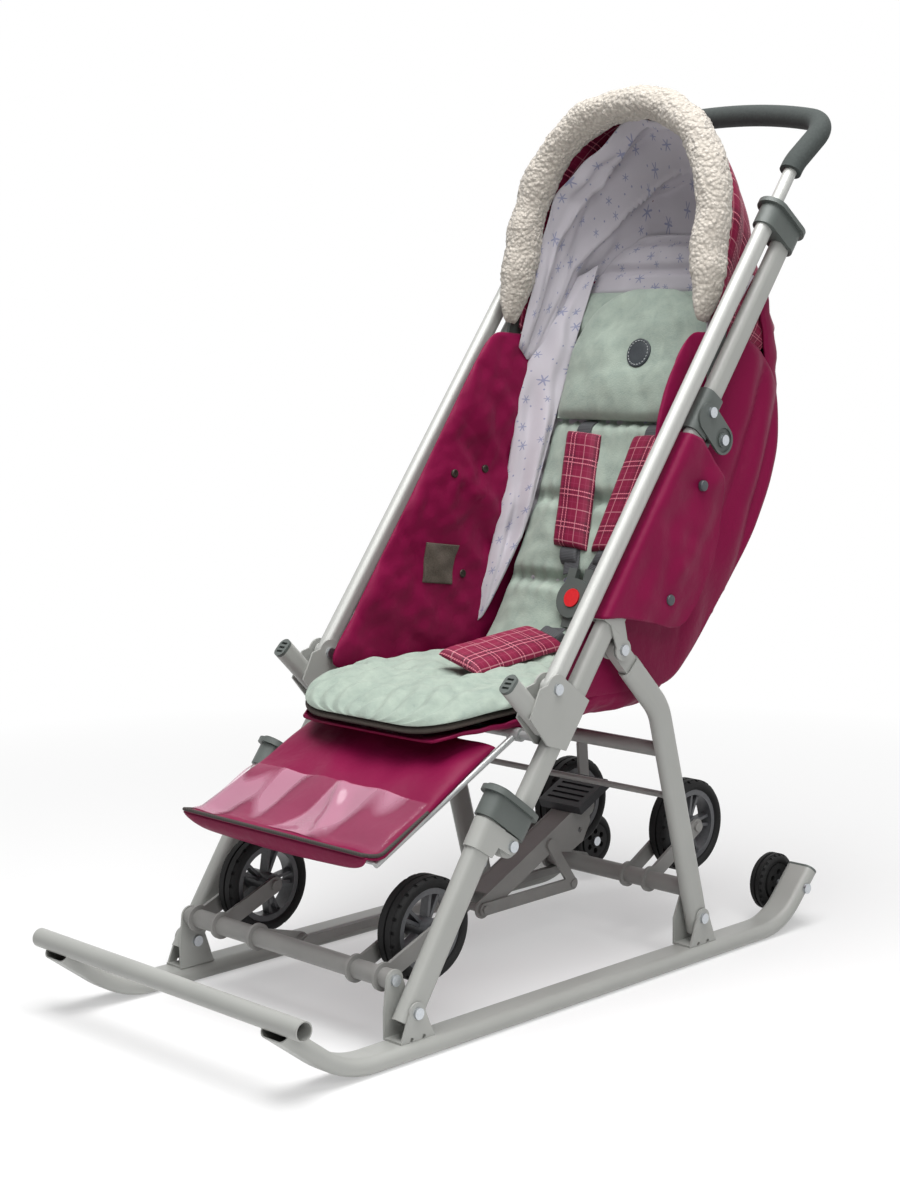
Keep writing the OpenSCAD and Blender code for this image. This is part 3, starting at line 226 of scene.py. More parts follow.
def swell(u, v, pu, pv):
    """Fullness of a pad, 0 at its rim and 1 in the middle: the root of one minus a power of the distance
    from the middle, so that it leaves its rim upright."""
    return np.sqrt(np.clip(1 - np.abs(2 * u - 1) ** pu, 0, 1) * np.clip(1 - np.abs(2 * v - 1) ** pv, 0, 1))


def ripple(a, b, size, seed, count=20):
    """Smooth seeded unevenness of unit height: a sum of plane waves with drawn headings, phases and
    lengths round size."""
    rng = np.random.default_rng(seed)
    k = 2 * np.pi / (size * rng.uniform(0.7, 1.7, count))
    turn, phase = rng.uniform(0, 2 * np.pi, (2, count))
    wave = np.multiply.outer(a, k * np.cos(turn)) + np.multiply.outer(b, k * np.sin(turn)) + phase
    return np.sin(wave).sum(-1) * np.sqrt(2 / count)


def cloth(name, x, y, z, material, wrap=False):
    """Mesh over a grid of points in mm, station and height in the side view, its columns joined round if
    wrap. UV is in metres, the mean length along columns and rows. Doubles are merged, and the faces of a
    closed mesh are turned outwards."""
    p = np.stack(np.broadcast_arrays(x, y - mid, z), -1) / 1000.0
    rows, cols = p.shape[:2]
    at = np.arange(rows * cols).reshape(rows, cols)
    at = np.concatenate([at, at[:, :1]], 1) if wrap else at
    q = p.reshape(-1, 3)[at]
    u = np.r_[0, np.cumsum(np.linalg.norm(np.diff(q, axis=1), axis=2).mean(0))]
    v = np.r_[0, np.cumsum(np.linalg.norm(np.diff(q, axis=0), axis=2).mean(1))]
    quads, uv = (np.stack([g[:-1, :-1], g[:-1, 1:], g[1:, 1:], g[1:, :-1]], 2)
                 for g in (at, np.stack(np.meshgrid(u, v), -1)))
    mesh = bpy.data.meshes.new(name)
    mesh.from_pydata(p.reshape(-1, 3).tolist(), [], quads.reshape(-1, 4).tolist())
    mesh.uv_layers.new(name="UVMap").data.foreach_set("uv", uv.ravel().astype(np.float32))
    shape = bmesh.new()
    shape.from_mesh(mesh)
    bmesh.ops.remove_doubles(shape, verts=shape.verts, dist=2e-6)
    if wrap:
        bmesh.ops.recalc_face_normals(shape, faces=shape.faces)
    shape.to_mesh(mesh)
    shape.free()
    mesh.shade_smooth()
    mesh.materials.append(material)
    piece = bpy.data.objects.new(name, mesh)
    bpy.context.scene.collection.objects.link(piece)
    piece["cut"] = [float(u[-1]), float(v[-1])]
    return piece


def thicken(piece, thickness, offset=0.0):
    """Gives a sheet its thickness in metres: half to each side, or all to one if the offset is 1."""
    wall = piece.modifiers.new("wall", "SOLIDIFY")
    wall.thickness, wall.offset = thickness, offset


def cushion(name, place, top, bottom, material, nu=60, nv=80):
    """Closed pad: a top and a bottom face that meet at the rim, on a grid drawn together at its edges."""
    u, v = np.meshgrid(*((1 - np.cos(np.linspace(0, np.pi, n))) / 2 for n in (nu, nv)))
    faces = zip(place(u, v, top(u, v)), place(u, v, bottom(u, v)))
    x, y, z = (np.concatenate([np.broadcast_to(a, u.shape), np.broadcast_to(b, u.shape)[:, ::-1]], 1)
               for a, b in faces)
    return cloth(name, x, y, z, material, wrap=True)


def unit(p, axis=-1):
    """Vectors made one long."""
    return p / np.linalg.norm(p, axis=axis, keepdims=True)


def circle(n):
    """Angles all round, in n even steps."""
    return np.linspace(0, 2 * np.pi, n, endpoint=False)


def sweep(name, x, y, z, aside, wide, thick, material):
    """Closed section carried square along a line of points, and closed to a point at both ends. Its first
    measure lies along the direction that aside gives for the line's heading."""
    p = np.stack(np.broadcast_arrays(x, y, z), -1).astype(float)
    t = unit(np.gradient(p, axis=0))
    side = unit(aside(t))
    q = p[:, None] + side[:, None] * wide[:, None] + np.cross(side, t)[:, None] * thick[:, None]
    q = np.concatenate([p[:1, None] + 0 * q[:1], q, p[-1:, None] + 0 * q[-1:]])
    return cloth(name, *np.moveaxis(q, -1, 0), material, wrap=True)


def tube(name, x, y, z, r, material, sides=10):
    """Round tube of radius r along a line of points."""
    a = circle(sides)
    return sweep(name, x, y, z,
                 lambda t: np.cross(t, np.where(np.abs(t[:, 2:]) > 0.9, [[1, 0, 0]], [[0, 0, 1]])),
                 r * np.cos(a), r * np.sin(a), material)


nylon, add, at = blank("satin_woven_nylon")
# Threads of about 0.4 mm, drawn as 3 mm ribs so that they show; creases about 60 mm apart.
weave = add("TexWave", "X", Vector=at["UV"], Scale=105.0, Distortion=0.6, Detail=1.0)
crease = add("TexNoise", Vector=at["Object"], Scale=16.0, Detail=4.0, Roughness=0.55)
drift = add("TexNoise", Vector=at["Object"], Scale=7.0, Detail=3.0)
tone = add("Mix", "RGBA", _0=drift, _6="6f0a36", _7="851143")
fine = add("Bump", Strength=0.06, Distance=0.0005, Height=weave.outputs[1])
soft = add("Bump", Strength=0.6, Distance=0.006, Height=crease, Normal=fine)
skin = add("BsdfPrincipled", Base_Color=tone, Roughness=0.5, Specular_IOR_Level=0.14,
           Sheen_Weight=0.02, Sheen_Roughness=0.4, Sheen_Tint="d9809f", Normal=soft)
add("OutputMaterial", Surface=skin)

# A cord of twisted threads, drawn 4 mm apart so that they show.
piping = plain("woven_dark_piping", "26211f", "403834", (160.0, "DIAGONAL", "UV"), bump=(0.3, 0.0004),
               Roughness=0.75)

footrest_hinge = go(knee, upright_slope, 127.5, -13.5)
tread_from, tread_to, tread_half = 34.0, 262.0, 160.0


def tread(x, s, h):
    """Point of the footrest: across, down its 27 degree slope from the hinge bar, and above it."""
    return x, *go(footrest_hinge, 207.0, s, h)


def pad_spot(u, v, h):
    """Point of the pad, 7 percent narrower behind: across and down as u and v go to 1, and above."""
    return tread(mix(-tread_half, tread_half, u) * (0.93 + 0.07 * v), mix(tread_from, tread_to, v), h)


def tread_lip(v):
    """Rise of the pad towards its front edge: a quarter wave over the last eighth."""
    return 16.0 * (1 - np.cos(np.pi / 2 * ramp(v, 0.88, 1)))


def tread_top(u, v):
    """Height of the pad's upper face: a thin pad, drawn down at its sides, with slack ripples."""
    full = swell(u, v, 10, 14)
    slack = 1.3 * ripple(320 * u, 210 * v, 70, 3) * full
    return 4.5 + tread_lip(v) + 11.0 * full ** 0.7 + slack


footrest_pad = cushion(
    "footrest_pad_cover", pad_spot, tread_top,
    lambda u, v: 4.5 + tread_lip(v) - 2.0 * swell(u, v, 10, 14) * ramp(v, 0.8, 1),
    nylon, 70, 70)
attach(footrest_pad, "footrest")
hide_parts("footrest_pad")

# Front skirt of the pad, rounded off at its corners and piped along its upper edge.
skirt_depth = 21.0
w = np.linspace(-1, 1, 60)
down = np.linspace(0, 1, 8)[:, None]
hem = (skirt_depth + 2.0 * np.cos(3 * w)) * (1 - 0.35 * np.abs(w) ** 12)
x, y, z = tread((tread_half - 2.0 - 14.0 * down ** 2) * w,
                tread_to - 1.5 + 2.5 * np.sin(np.pi * down) * (1 - np.abs(w) ** 14), skirt_depth - down * hem)
footrest_skirt = cloth("footrest_skirt", x, y, z, nylon)
thicken(footrest_skirt, 0.002, -1.0)
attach(footrest_skirt, "footrest")

t = np.linspace(0, 1, 160)
bends = [0, 0.17, 0.2, 0.8, 0.83, 1]
run_x = np.interp(t, bends, [-159, -159, -155, 155, 159, 159])
run_v = np.interp(t, bends, [0.55, 0.97, 1.0, 1.0, 0.97, 0.55])
x, y, z = pad_spot(run_x / tread_half / 2 + 0.5, run_v,
                   6.0 + tread_lip(run_v) + 4.5 * ramp(run_v, 0.5, 0.95))
footrest_piping = tube("footrest_piping", x, y, z, 2.2, piping)
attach(footrest_piping, "footrest")

film, add, at = blank("clear_vinyl_film")
# Clear vinyl about 0.4 mm thick, creased where it was folded in the box.
crinkle = add("TexNoise", Vector=at["UV"], Scale=14.0, Detail=1.0, Roughness=0.3, Distortion=0.5)
bump = add("Bump", Strength=0.1, Distance=0.004, Height=crinkle)
# Painted reflection: a pale pink veil in slanting fields of 80 by 250 mm stands for the lamp's reflection on
# the film; between the fields the film is nearly clear.
slant = add("Mapping", Vector=at["UV"], Rotation=(0.0, 0.0, 0.7), Scale=(13.0, 4.0, 1.0))
reflection_field = add("TexNoise", "2D", Vector=slant, Scale=1.0, Detail=1.0, Distortion=0.4)
painted_reflection_share = add("MapRange", Value=reflection_field, From_Min=0.42, From_Max=0.5, To_Min=0.1, To_Max=0.5)
# The pale pink base colour is the painted reflection, shown as far as the fields make the film less clear.
skin = add("BsdfPrincipled", Base_Color="e0a2bb", Roughness=0.12, IOR=1.54,
           Specular_IOR_Level=0.7, Alpha=painted_reflection_share, Normal=bump)
add("OutputMaterial", Surface=skin)
# The film's margin at the sides, its start, end and length are shares of the pad.
margin, film_from, film_to, film_long = 0.015, 0.52, 0.965, 0.445
u, v = np.meshgrid(np.linspace(margin, 1 - margin, 110), np.linspace(film_from, film_to, 70))
edge = swell((u - margin) / (1 - 2 * margin), (v - film_from) / film_long, 8, 8)
crumple = (1.0 + 0.6 * ripple(320 * u + 90 * v, 40 * v, 190, 11)
           + 2.2 * np.exp(-((u - 0.62 - 0.35 * (v - 0.7)) / 0.035) ** 2)
           + 1.4 * np.exp(-((u - 0.86 - 0.2 * v) / 0.03) ** 2))
x, y, z = pad_spot(u, v, tread_top(u, v) + 1.6 + 3.0 * edge * crumple)
footrest_film = cloth("footrest_film", x, y, z, film)
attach(footrest_film, "footrest")
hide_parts("footrest_cover")

# Seat shell: the bag that hangs between the uprights, one lined nylon panel from the front lip under
# the seat and up behind the back, sewn to the side panels along its rolled edges.
fold_turn = np.radians(upright_slope)


def seat_piece(piece, node=None):
    """Fixes a soft piece to the seat frame with a mesh of its own. It may stand for a CAD node, which is then
    hidden."""
    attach(piece, "seat_frame")
    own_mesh(piece)
    if node:
        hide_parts(node)


def bezier(p, t):
    """Point of a cubic curve with four control points."""
    a, b, c, d = (np.array(q, float)[:, None] for q in p)
    return (1 - t) ** 3 * a + 3 * t * (1 - t) ** 2 * b + 3 * t * t * (1 - t) * c + t ** 3 * d


def shell_line(t):
    """Line of the bag in the side view: t from 0 at the front lip, 1 under the back, 2 at the top."""
    low = bezier([(160, 312), (290, 330), (470, 305), (535, 358)], np.clip(t, 0, 1))
    high = bezier([(535, 358), (680, 480), (790, 650), (716, 842)], np.clip(t - 1, 0, 1))
    return np.where(t < 1, low, high)


bag_half = 167.5
bag_t = np.linspace(0, 2, 130)
line = shell_line(bag_t)
ahead = unit(np.gradient(line, axis=1), 0)
s = np.r_[0, np.cumsum(np.linalg.norm(np.diff(line, axis=1), axis=0))][:, None]
turn = np.linspace(-np.pi / 2, np.pi / 2, 110)[None, :]
x = bag_half * np.sign(np.sin(turn)) * np.abs(np.sin(turn)) ** 0.42
roll = np.interp(bag_t, [0, 0.3, 1, 1.8, 2], [6, 16, 42, 46, 30])[:, None]
depth = roll * (np.abs(np.cos(turn)) ** 0.42 - 1)
sag = 28.0 * np.sin(np.pi / 2 * np.minimum(bag_t, 2 - bag_t))[:, None] * (1 - (x / bag_half) ** 2)
wide = x * np.interp(bag_t, [0, 0.12, 0.3, 0.45], [0.68, 0.86, 0.97, 1.0])[:, None]
drape = 3.6 * ripple(wide, 0.45 * s, 85, 21) + 1.1 * ripple(wide, s, 34, 22)
pull = 4.0 * np.abs(ripple(0.6 * wide + 0.8 * s, 0.2 * s, 120, 23)) * np.sin(np.pi * bag_t / 2)[:, None]
out = depth + sag + (drape + pull - 3.0) * ramp(bag_t, 0, 0.25)[:, None]
seat_bag = cloth("seat_bag", wide, line[0][:, None] + out * ahead[1][:, None],
                 line[1][:, None] - out * ahead[0][:, None], nylon)
thicken(seat_bag, 0.003, 1.0)
seat_piece(seat_bag, "seat_shell")

# Side panels: padded nylon wings inside the uprights, sewn to the bag and lined like it. Both have
# snaps and a square of hook tape on the inside for the foot cover.
sides = ((1, "left"), (-1, "right"))
panel_x = 166.5
panel_rear = [(640, 768), (685, 745), (716, 700), (718, 640), (704, 590), (680, 540), (648, 490), (596, 430),
              (545, 376), (500, 347), (420, 345), (340, 347)]
front_along = np.array([165.0, 240, 320, 400, 470, 510, 546, 586, 622, 650, 668, 679, 692, 706])
# The right panel's front edge hangs out to the handle's tube; the left one is drawn back below.
front_back = {"left": np.array([-20.0, -17, -15, -14, -15, -20, -36, -47, -52, -51, -45, -32, -12, 8]),
              "right": np.array([-40.0, -47, -49, -50, -52, -53, -54, -55, -55, -53, -46, -33, -12, 8])}


def closed_curve(points, n):
    """Smooth closed curve through points: a cubic between each two, with slopes from their neighbours."""
    s = np.linspace(0, len(points), n, endpoint=False)
    i = np.floor(s).astype(int)
    f = (s - i)[:, None]
    a, b, c, d = (points[(i + k) % len(points)] for k in (-1, 0, 1, 2))
    return b + f / 2 * (c - a + f * (2 * a - 5 * b + 4 * c - d + f * (3 * (b - c) + d - a)))


def panel_depth(y, z):
    """Depth of a panel's padding on its inner side: slack waves along its slope, small ones and puckers."""
    slack = 2.2 * ripple(y + 0.5 * z, 0.6 * z - 0.4 * y, 80, 31) + 0.8 * ripple(y, z, 30, 32)
    return 6.5 + slack + 1.5 * np.abs(ripple(y + z, 0.5 * z, 60, 33))


heart = (520.0, 560.0)
rho = np.sin(np.linspace(0, np.pi / 2, 46))[:, None]
full = np.sqrt(np.clip(1 - rho ** 9, 0, 1))
for side, name in sides:
    front = np.stack(go(knee, upright_slope, front_along, front_back[name]), 1)
    rim = closed_curve(np.concatenate([front, panel_rear]), 220)
    y, z = (heart[k] + (rim[:, k] - heart[k]) * rho for k in (0, 1))
    bulge = np.minimum(4.6 + 0.6 * ripple(y, z, 75, 34), 5.0) + 5.0 * ramp(y, 610, 670)
    folds = 6.0 * (np.abs(ripple(0.95 * y - 0.35 * z, 0.12 * z, 75, 35)) - 0.8) * ramp(y, 500, 590)
    inner, outer = panel_x - full * panel_depth(y, z), panel_x + full * (bulge + folds)
    x, y, z = (np.concatenate([a, b[::-1]], 0) for a, b in ((outer, inner), (y, y), (z, z)))
    panel = cloth("side_panel_" + name, side * x, y, z, nylon, wrap=True)
    seat_piece(panel, "side_panels")

# Pressed brass gone dark, spotted every 2 mm; smooth moulded caps; and a brown nap of 2 mm on the tape.
snap_metal = plain("oxidised_brass_snap", "2b2725", "5b524b", (600.0, 2.0), Metallic=0.8, Roughness=0.4)
snap_plastic = plain("moulded_dark_snap_cap", "34383c", "474c50", (400.0, 2.0), Roughness=0.38)
hook_tape = plain("napped_hook_tape", "3b342e", "675d53", (520.0, 4.0), bump=(0.8, 0.001), Roughness=0.95)


def button(name, x, y, z, r, lift, material, hollow=0.0):
    """Round snap that faces along X: a profile turned about its axis, with its middle sunk if hollow."""
    profile = np.array([(1.0, -1.0), (1.0, 0.3), (0.93, 0.75), (0.8, 0.95), (0.55, 1.0 - 0.5 * hollow),
                        (0.3, 1.0 - hollow), (0.0, 1.0 - hollow)])
    a = circle(28)
    return cloth(name, x + lift * profile[:, 1:], y + r * profile[:, :1] * np.cos(a),
                 z + r * profile[:, :1] * np.sin(a), material, wrap=True)


def panel_face(side, y, z, h):
    """Point above the inner face of a panel."""
    return side * (panel_x - 0.3 - panel_depth(y, z) - h), y, z


def tape_spot(side, u, v, h):
    """Point of the square of hook tape: along the seat, up, and in from the panel it is sewn to."""
    return panel_face(side, 405 + 5 * v + u * (50 + 11 * v), 452 - 7 * u + 52 * v - 2 * u * v, h)


for side, name in sides:
    for i, (sy, sz) in enumerate(((461.0, 590.0), (527.0, 592.0), (479.0, 457.0))):
        snap = button("panel_snap_%s_%d" % (name, i), *panel_face(side, sy, sz, 0.0), 5.5, -side * 1.8,
                      snap_metal, 0.7)
        seat_piece(snap)
    tape = cushion("hook_tape_" + name, lambda u, v, h: tape_spot(side, u, v, h),
                   lambda u, v: 2.6 * swell(u, v, 20, 20) ** 0.5, lambda u, v: -0.5, hook_tape, 24, 24)
    seat_piece(tape)

# Side flaps: the outer ends of the panels, folded round the fronts of the uprights and snapped back
# on the outside with two dark snaps.
flap_x = 208.6
flap_back = [-19, -1, 4, 60, 84, 100, 108, 112]
flap_low = [284, 296, 299, 325, 333, 343, 356, 384]
flap_high = [541, 546, 547, 532, 508, 472, 440, 400]
# The path leaves the panel, goes round the upright's front, and lies flat outside after the bend.
path = np.linspace(0, 1, 96)[None, :]
bend = 0.31
wrap_at = [0, 0.04, 0.08, 0.13, 0.22, 0.28, bend, 0.34, 1]
reach = ramp(path, bend, 1)
back = np.where(path < bend, np.interp(path, wrap_at, [-1, -9, -15.5, -18.6, -19.4, -19.2, -16, 0, 0]),
                -16 + 128 * (1 - (1 - reach) ** 1.3))
along = mix(np.interp(back, flap_back, flap_low), np.interp(back, flap_back, flap_high),
            np.linspace(0, 1, 70)[:, None])
slack = 2.6 * ripple(along, back, 90, 41) + 1.1 * ripple(along, back, 38, 42)
x = np.interp(path, wrap_at, [panel_x, panel_x, 167, 170, 190, 204, 207.6, flap_x, flap_x])
x = x + slack * np.sin(np.pi * reach) * 0.9
y, z = go(knee, upright_slope, along, back)
for side, name in sides:
    flap = cloth("side_flap_" + name, *(g[:, ::side] for g in (side * x, y, z)), nylon)
    thicken(flap, 0.0028)
    seat_piece(flap, "side_flaps")
    for i, (sy, sz) in enumerate(((517, 589), (456, 457))):
        snap = button("flap_snap_%s_%d" % (name, i), side * (flap_x + 2), sy, sz, 6.6, side * 2.6,
                      snap_plastic)
        seat_piece(snap)

# Back lining: printed cotton quilted to thin wadding over the back board, seen above the head pillow,
# and loose gussets of the same cloth between the back and the side panels.
lining, add, at = blank("printed_cotton_lining")
# A scattered print of six-armed snow stars 9 to 18 mm across, and dots of 2.5 mm between them.
cell = add("TexVoronoi", "2D", Vector=at["UV"], Scale=30.0, Randomness=0.75)
arm = add("VectorMath", "SUBTRACT", _0=at["UV"], _1=cell.outputs["Position"])
part = add("SeparateXYZ", Vector=arm)
angle = add("Math", "ARCTAN2", _0=part.outputs["Y"], _1=part.outputs["X"])
six = add("Math", "MULTIPLY", _0=angle, _1=3.0)
wave = add("Math", "COSINE", _0=six)
star = add("Math", "ABSOLUTE", _0=wave)
sharp = add("Math", "POWER", _0=star, _1=5.0)
pick = add("SeparateColor", Color=cell.outputs["Color"])
span = add("MapRange", Value=pick, To_Min=0.0045, To_Max=0.0088)
notch = add("MapRange", Value=sharp, To_Min=0.28, To_Max=1.0)
limit = add("Math", "MULTIPLY", _0=span, _1=notch)
far = add("VectorMath", "LENGTH", _0=arm)
inside = add("Math", "LESS_THAN", _0=far, _1=limit)
dots = add("TexVoronoi", "2D", Vector=at["UV"], Scale=44.0, Randomness=1.0)
dot = add("Math", "LESS_THAN", _0=dots.outputs["Distance"], _1=0.055)
printed = add("Math", "MAXIMUM", _0=inside, _1=dot)
faint = add("Math", "MULTIPLY", _0=printed, _1=0.8)
# The ground clouds over 110 mm, and creases stand 25 mm apart.
cloud = add("TexNoise", Vector=at["Object"], Scale=9.0, Detail=3.0)
ground = add("Mix", "RGBA", _0=cloud, _6="b3afb6", _7="c6c2c9")
tone = add("Mix", "RGBA", _0=faint, _6=ground, _7="7d82a2")
crease = add("TexNoise", Vector=at["Object"], Scale=40.0, Detail=4.0, Distortion=0.4)
bump = add("Bump", Strength=0.35, Distance=0.0025, Height=crease)
skin = add("BsdfPrincipled", Base_Color=tone, Roughness=0.82, Sheen_Weight=0.1, Normal=bump)
add("OutputMaterial", Surface=skin)

back_slope = 69.0
back_foot = go((510.0, 389.0), back_slope, 0.0, 24.0)


def back_spot(x, s, h):
    """Point of the back: across, up its slope from the seat, and in front of the board."""
    return x, *go(back_foot, back_slope, s, -h)


def quilt(s, first, step, sharpness=14):
    """Depth of cross seams, 1 on a seam: a cosine of the height raised to a power."""
    return np.abs(np.cos(np.pi * (s - first) / step)) ** sharpness


def lining_rise(v):
    """Height up the back of a place on the lining, as v goes from 0 to 1."""
    return 6 + 548 * v


def lining_spot(u, v, h):
    """Point of the lining, narrower below and drawn in to a round top."""
    s = lining_rise(v)
    waist = 32.0 * ramp(s, 190, 80) + 12.0 * ramp(s, 280, 360)
    half = (158.0 - waist) * np.sqrt(np.clip(1 - (np.clip(s - 420, 0, None) / 146) ** 2, 0.02, 1))
    return back_spot((2 * u - 1) * half, s, h)


def lining_front(u, v):
    """Front of the lining: wadding swollen between its cross seams."""
    s = lining_rise(v)
    full = swell(u, v, 8, 24)
    return 0.5 + full * (11.0 - 9.0 * quilt(s, 462, 40, 8) + 0.8 * ripple(300 * u, s, 40, 51))


back_lining = cushion("back_lining", lining_spot, lining_front,
                      lambda u, v: -5.5 * swell(u, v, 12, 24) ** 0.5, lining, 70, 220)
seat_piece(back_lining, "back_panel")

# A gusset runs from the panel's edge, u = 0, to the back, u = 1, and from a pointed foot, v = 0, upwards.
v = np.linspace(0, 1, 120)[:, None]
u = np.linspace(0, 1, 44)[None, :]
stops = [0, 0.1, 0.4, 0.62, 0.83, 1]
y1, z1 = go(knee, upright_slope, np.interp(v, stops, [337, 377, 506, 631, 717, 800]),
            np.interp(v, stops, [142, 124, 84, 30, 8, 16]))
x2, y2, z2 = back_spot(np.interp(v, [0, 0.3, 0.8, 1], [136, 122, 118, 112]), mix(14.0, 505.0, v),
                       np.interp(v, [0, 0.2, 1], [12, 22, 22]))
spread = ramp(v, 0, 0.22) ** 0.6
x2, y2, z2 = mix(158.0, x2, spread), mix(y1, y2, spread), mix(z1, z2, spread)
bow = np.sin(np.pi * u) * spread
pleat = bow * (3 * np.sin(2 * np.pi * (1.3 * u + 0.8 * v)) + 4 * ripple(90 * u, 420 * v, 80, 61))
x = mix(159.5, x2, u ** 0.8) - np.clip(pleat, -12, 16) - 4 * bow
y, z = mix(y1, y2, u) - 0.5 * pleat, mix(z1, z2, u)
for side, name in sides:
    gusset = cloth("lining_gusset_" + name, *(g[:, ::-side] for g in (side * x, y, z)), lining)
    thicken(gusset, 0.0015)
    seat_piece(gusset)

# Seat and back cushions: a loose liner of sage velour over wadding, quilted across, with a dark bound
# underside that shows as a lip at the front.
velour, add, at = blank("brushed_sage_velour")
# Finger marks of about 20 mm in the pile, and a nap of 2 mm.
mark = add("TexNoise", Vector=at["Object"], Scale=48.0, Detail=5.0, Roughness=0.6, Distortion=0.4)
nap = add("TexNoise", Vector=at["Object"], Scale=480.0, Detail=3.0)
brushed = add("MapRange", Value=mark, From_Min=0.32, From_Max=0.68)
tone = add("Mix", "RGBA", _0=brushed, _6="84918a", _7="abb7ab")
fluff = add("Mix", "RGBA", _0=nap, _6=tone, _7="9caa9e")
bump = add("Bump", Strength=0.4, Distance=0.0012, Height=nap)
skin = add("BsdfPrincipled", Base_Color=fluff, Roughness=0.92, Sheen_Weight=0.3,
           Sheen_Roughness=0.4, Sheen_Tint="dfe6dc", Normal=bump)
add("OutputMaterial", Surface=skin)

seat_foot, seat_end = (202.0, 339.4), (495.0, 350.0)
seat_slope = float(np.degrees(np.arctan2(seat_end[1] - seat_foot[1], seat_end[0] - seat_foot[0])))
seat_over, seat_len = 52.0, 349.0


def seat_spot(x, s, h):
    """Point of the seat: across, back from its front edge, and above the bag's floor."""
    return x, *go(seat_foot, seat_slope, s, -h)


def seat_half(s):
    """Half width of the seat liner: round front corners, wide wings in front, narrower at the back."""
    corner = (1 - (1 - ramp(s + seat_over, 0, 95)) ** 2.2) ** (1 / 2.2)
    waist = ramp(s, 95, 150)
    return 62 + 90 * corner - 22 * waist * waist * (3 - 2 * waist)


def seat_run(u, v, inset=0.0):
    """Place on the seat liner, which starts in front of the seat's edge: across, less an inset, and back."""
    s = seat_len * v - seat_over
    return (2 * u - 1) * (seat_half(s) - inset), s


def seat_droop(s):
    """Fall of the liner's front, which hangs over the edge of the bag."""
    return -15.0 * ramp(s, 25, -seat_over) ** 1.7


def seat_top(x, s):
    """Top of the seat liner: a full pad with two cross seams and puckers along its rim."""
    u, v = np.clip(x / seat_half(s) / 2 + 0.5, 0, 1), ramp(s + seat_over, 0, seat_len)
    full = swell(u, v, 7, 10) * (0.45 + 0.55 * ramp(s + seat_over, 0, 110))
    rim = (1 - full) * full * 4
    pucker = 2.4 * rim * np.sin(2 * np.pi * (9.0 * np.abs(u - 0.5) + 6.0 * v))
    seam = 4.5 * (np.exp(-((s - 62) / 5) ** 2) + np.exp(-((s - 175) / 5) ** 2)) * full
    soft = 2.0 * ripple(x, s, 60, 71) + 0.9 * ripple(x, s, 26, 72)
    return 8.0 + seat_droop(s) + full * (20.0 + soft) + pucker - seam


liner_seat = cushion("seat_liner", lambda u, v, h: seat_spot(*seat_run(u, v), h),
                     lambda u, v: seat_top(*seat_run(u, v)),
                     lambda u, v: 8.0 + seat_droop(seat_run(u, v)[1]) - 2.0 * swell(u, v, 8, 10),
                     velour, 120, 140)
seat_piece(liner_seat, "seat_cushion")

# A felt with a nap of 2.4 mm.
bound_felt = plain("dark_bound_felt", "2b2724", "484039", (420.0, 3.0), bump=(0.5, 0.001), Roughness=0.95)


def under_spot(u, v, h):
    """Point of the underside, 1 mm inside the liner's sides and 1 mm ahead of its front."""
    s = 345 * v - 53
    return seat_spot(seat_run(u, v, 1.0)[0], s, 1.0 + seat_droop(s) + h)


liner_under = cushion("seat_liner_underside", under_spot, lambda u, v: 6.5 * swell(u, v, 12, 16),
                      lambda u, v: -5.0 * swell(u, v, 12, 16), bound_felt, 70, 80)
seat_piece(liner_under)

liner_low, liner_len = 42.0, 512.0


def liner_half(s):
    """Half width of the back liner, wider at its foot and a little drawn in at its middle."""
    return 133.0 + 12.0 * ramp(s, 170, 20) - 6.0 * np.sin(np.pi * ramp(s, 0, 470))


def liner_run(u, v):
    """Place on the back liner, which starts below the foot of the back: across, and up."""
    s = liner_len * v - liner_low
    return (2 * u - 1) * liner_half(s), s


def liner_foot(s):
    """Curve of the back liner's foot forward to the seat, from 0 to 1 at its lower edge."""
    return ramp(s, 34, -liner_low) ** 1.8


def liner_front(x, s):
    """Front of the back liner: swollen between seams 110 mm apart, gathered along them, and curving
    forward at its foot to meet the seat."""
    u, v = x / liner_half(s) / 2 + 0.5, (s + liner_low) / liner_len
    full = swell(np.clip(u, 0, 1), np.clip(v, 0, 1), 6, 16)
    seam = quilt(s, 70, 110, 26)
    gather = 1.3 * quilt(s, 70, 110, 5) * np.sin(2 * np.pi * x / 21 + 3 * np.sin(s / 37))
    soft = 1.2 * ripple(x, s, 75, 81) + 0.4 * ripple(x, s, 30, 82)
    return 8.0 + 24.0 * liner_foot(s) + full * (17.0 - 13.0 * seam + 1.6 * gather + soft)


liner_back = cushion("back_liner", lambda u, v, h: back_spot(*liner_run(u, v), h),
                     lambda u, v: liner_front(*liner_run(u, v)),
                     lambda u, v: 8.0 - 2.0 * swell(u, v, 12, 14) + 20.0 * liner_foot(liner_run(u, v)[1]),
                     velour, 100, 300)
seat_piece(liner_back, "back_cushion")

pillow_from, pillow_len = 288.0, 180.0


def pillow_half(v):
    """Half width of the head pillow: straight below, then a round top."""
    return 116.0 * np.sqrt(np.clip(1 - (np.clip(v - 0.42, 0, None) / 0.6) ** 2.2, 0.02, 1))


def pillow_front(u, v):
    """Front of the head pillow: a soft crown above a flat sewn edge at its foot."""
    soft = 1.6 * ripple(230 * u, 190 * v, 80, 91) + 0.4 * ripple(230 * u, 190 * v, 30, 92)
    return 23.0 + swell(u, v, 5, 5) * (18.0 + soft) - 2.0 * np.exp(-(v / 0.03) ** 2)


pillow = cushion("head_pillow_cover",
                 lambda u, v, h: back_spot((2 * u - 1) * pillow_half(v), pillow_from + pillow_len * v, h),
                 pillow_front, lambda u, v: 23.0 - 2.0 * swell(u, v, 10, 10), velour, 80, 90)
seat_piece(pillow, "head_pillow")

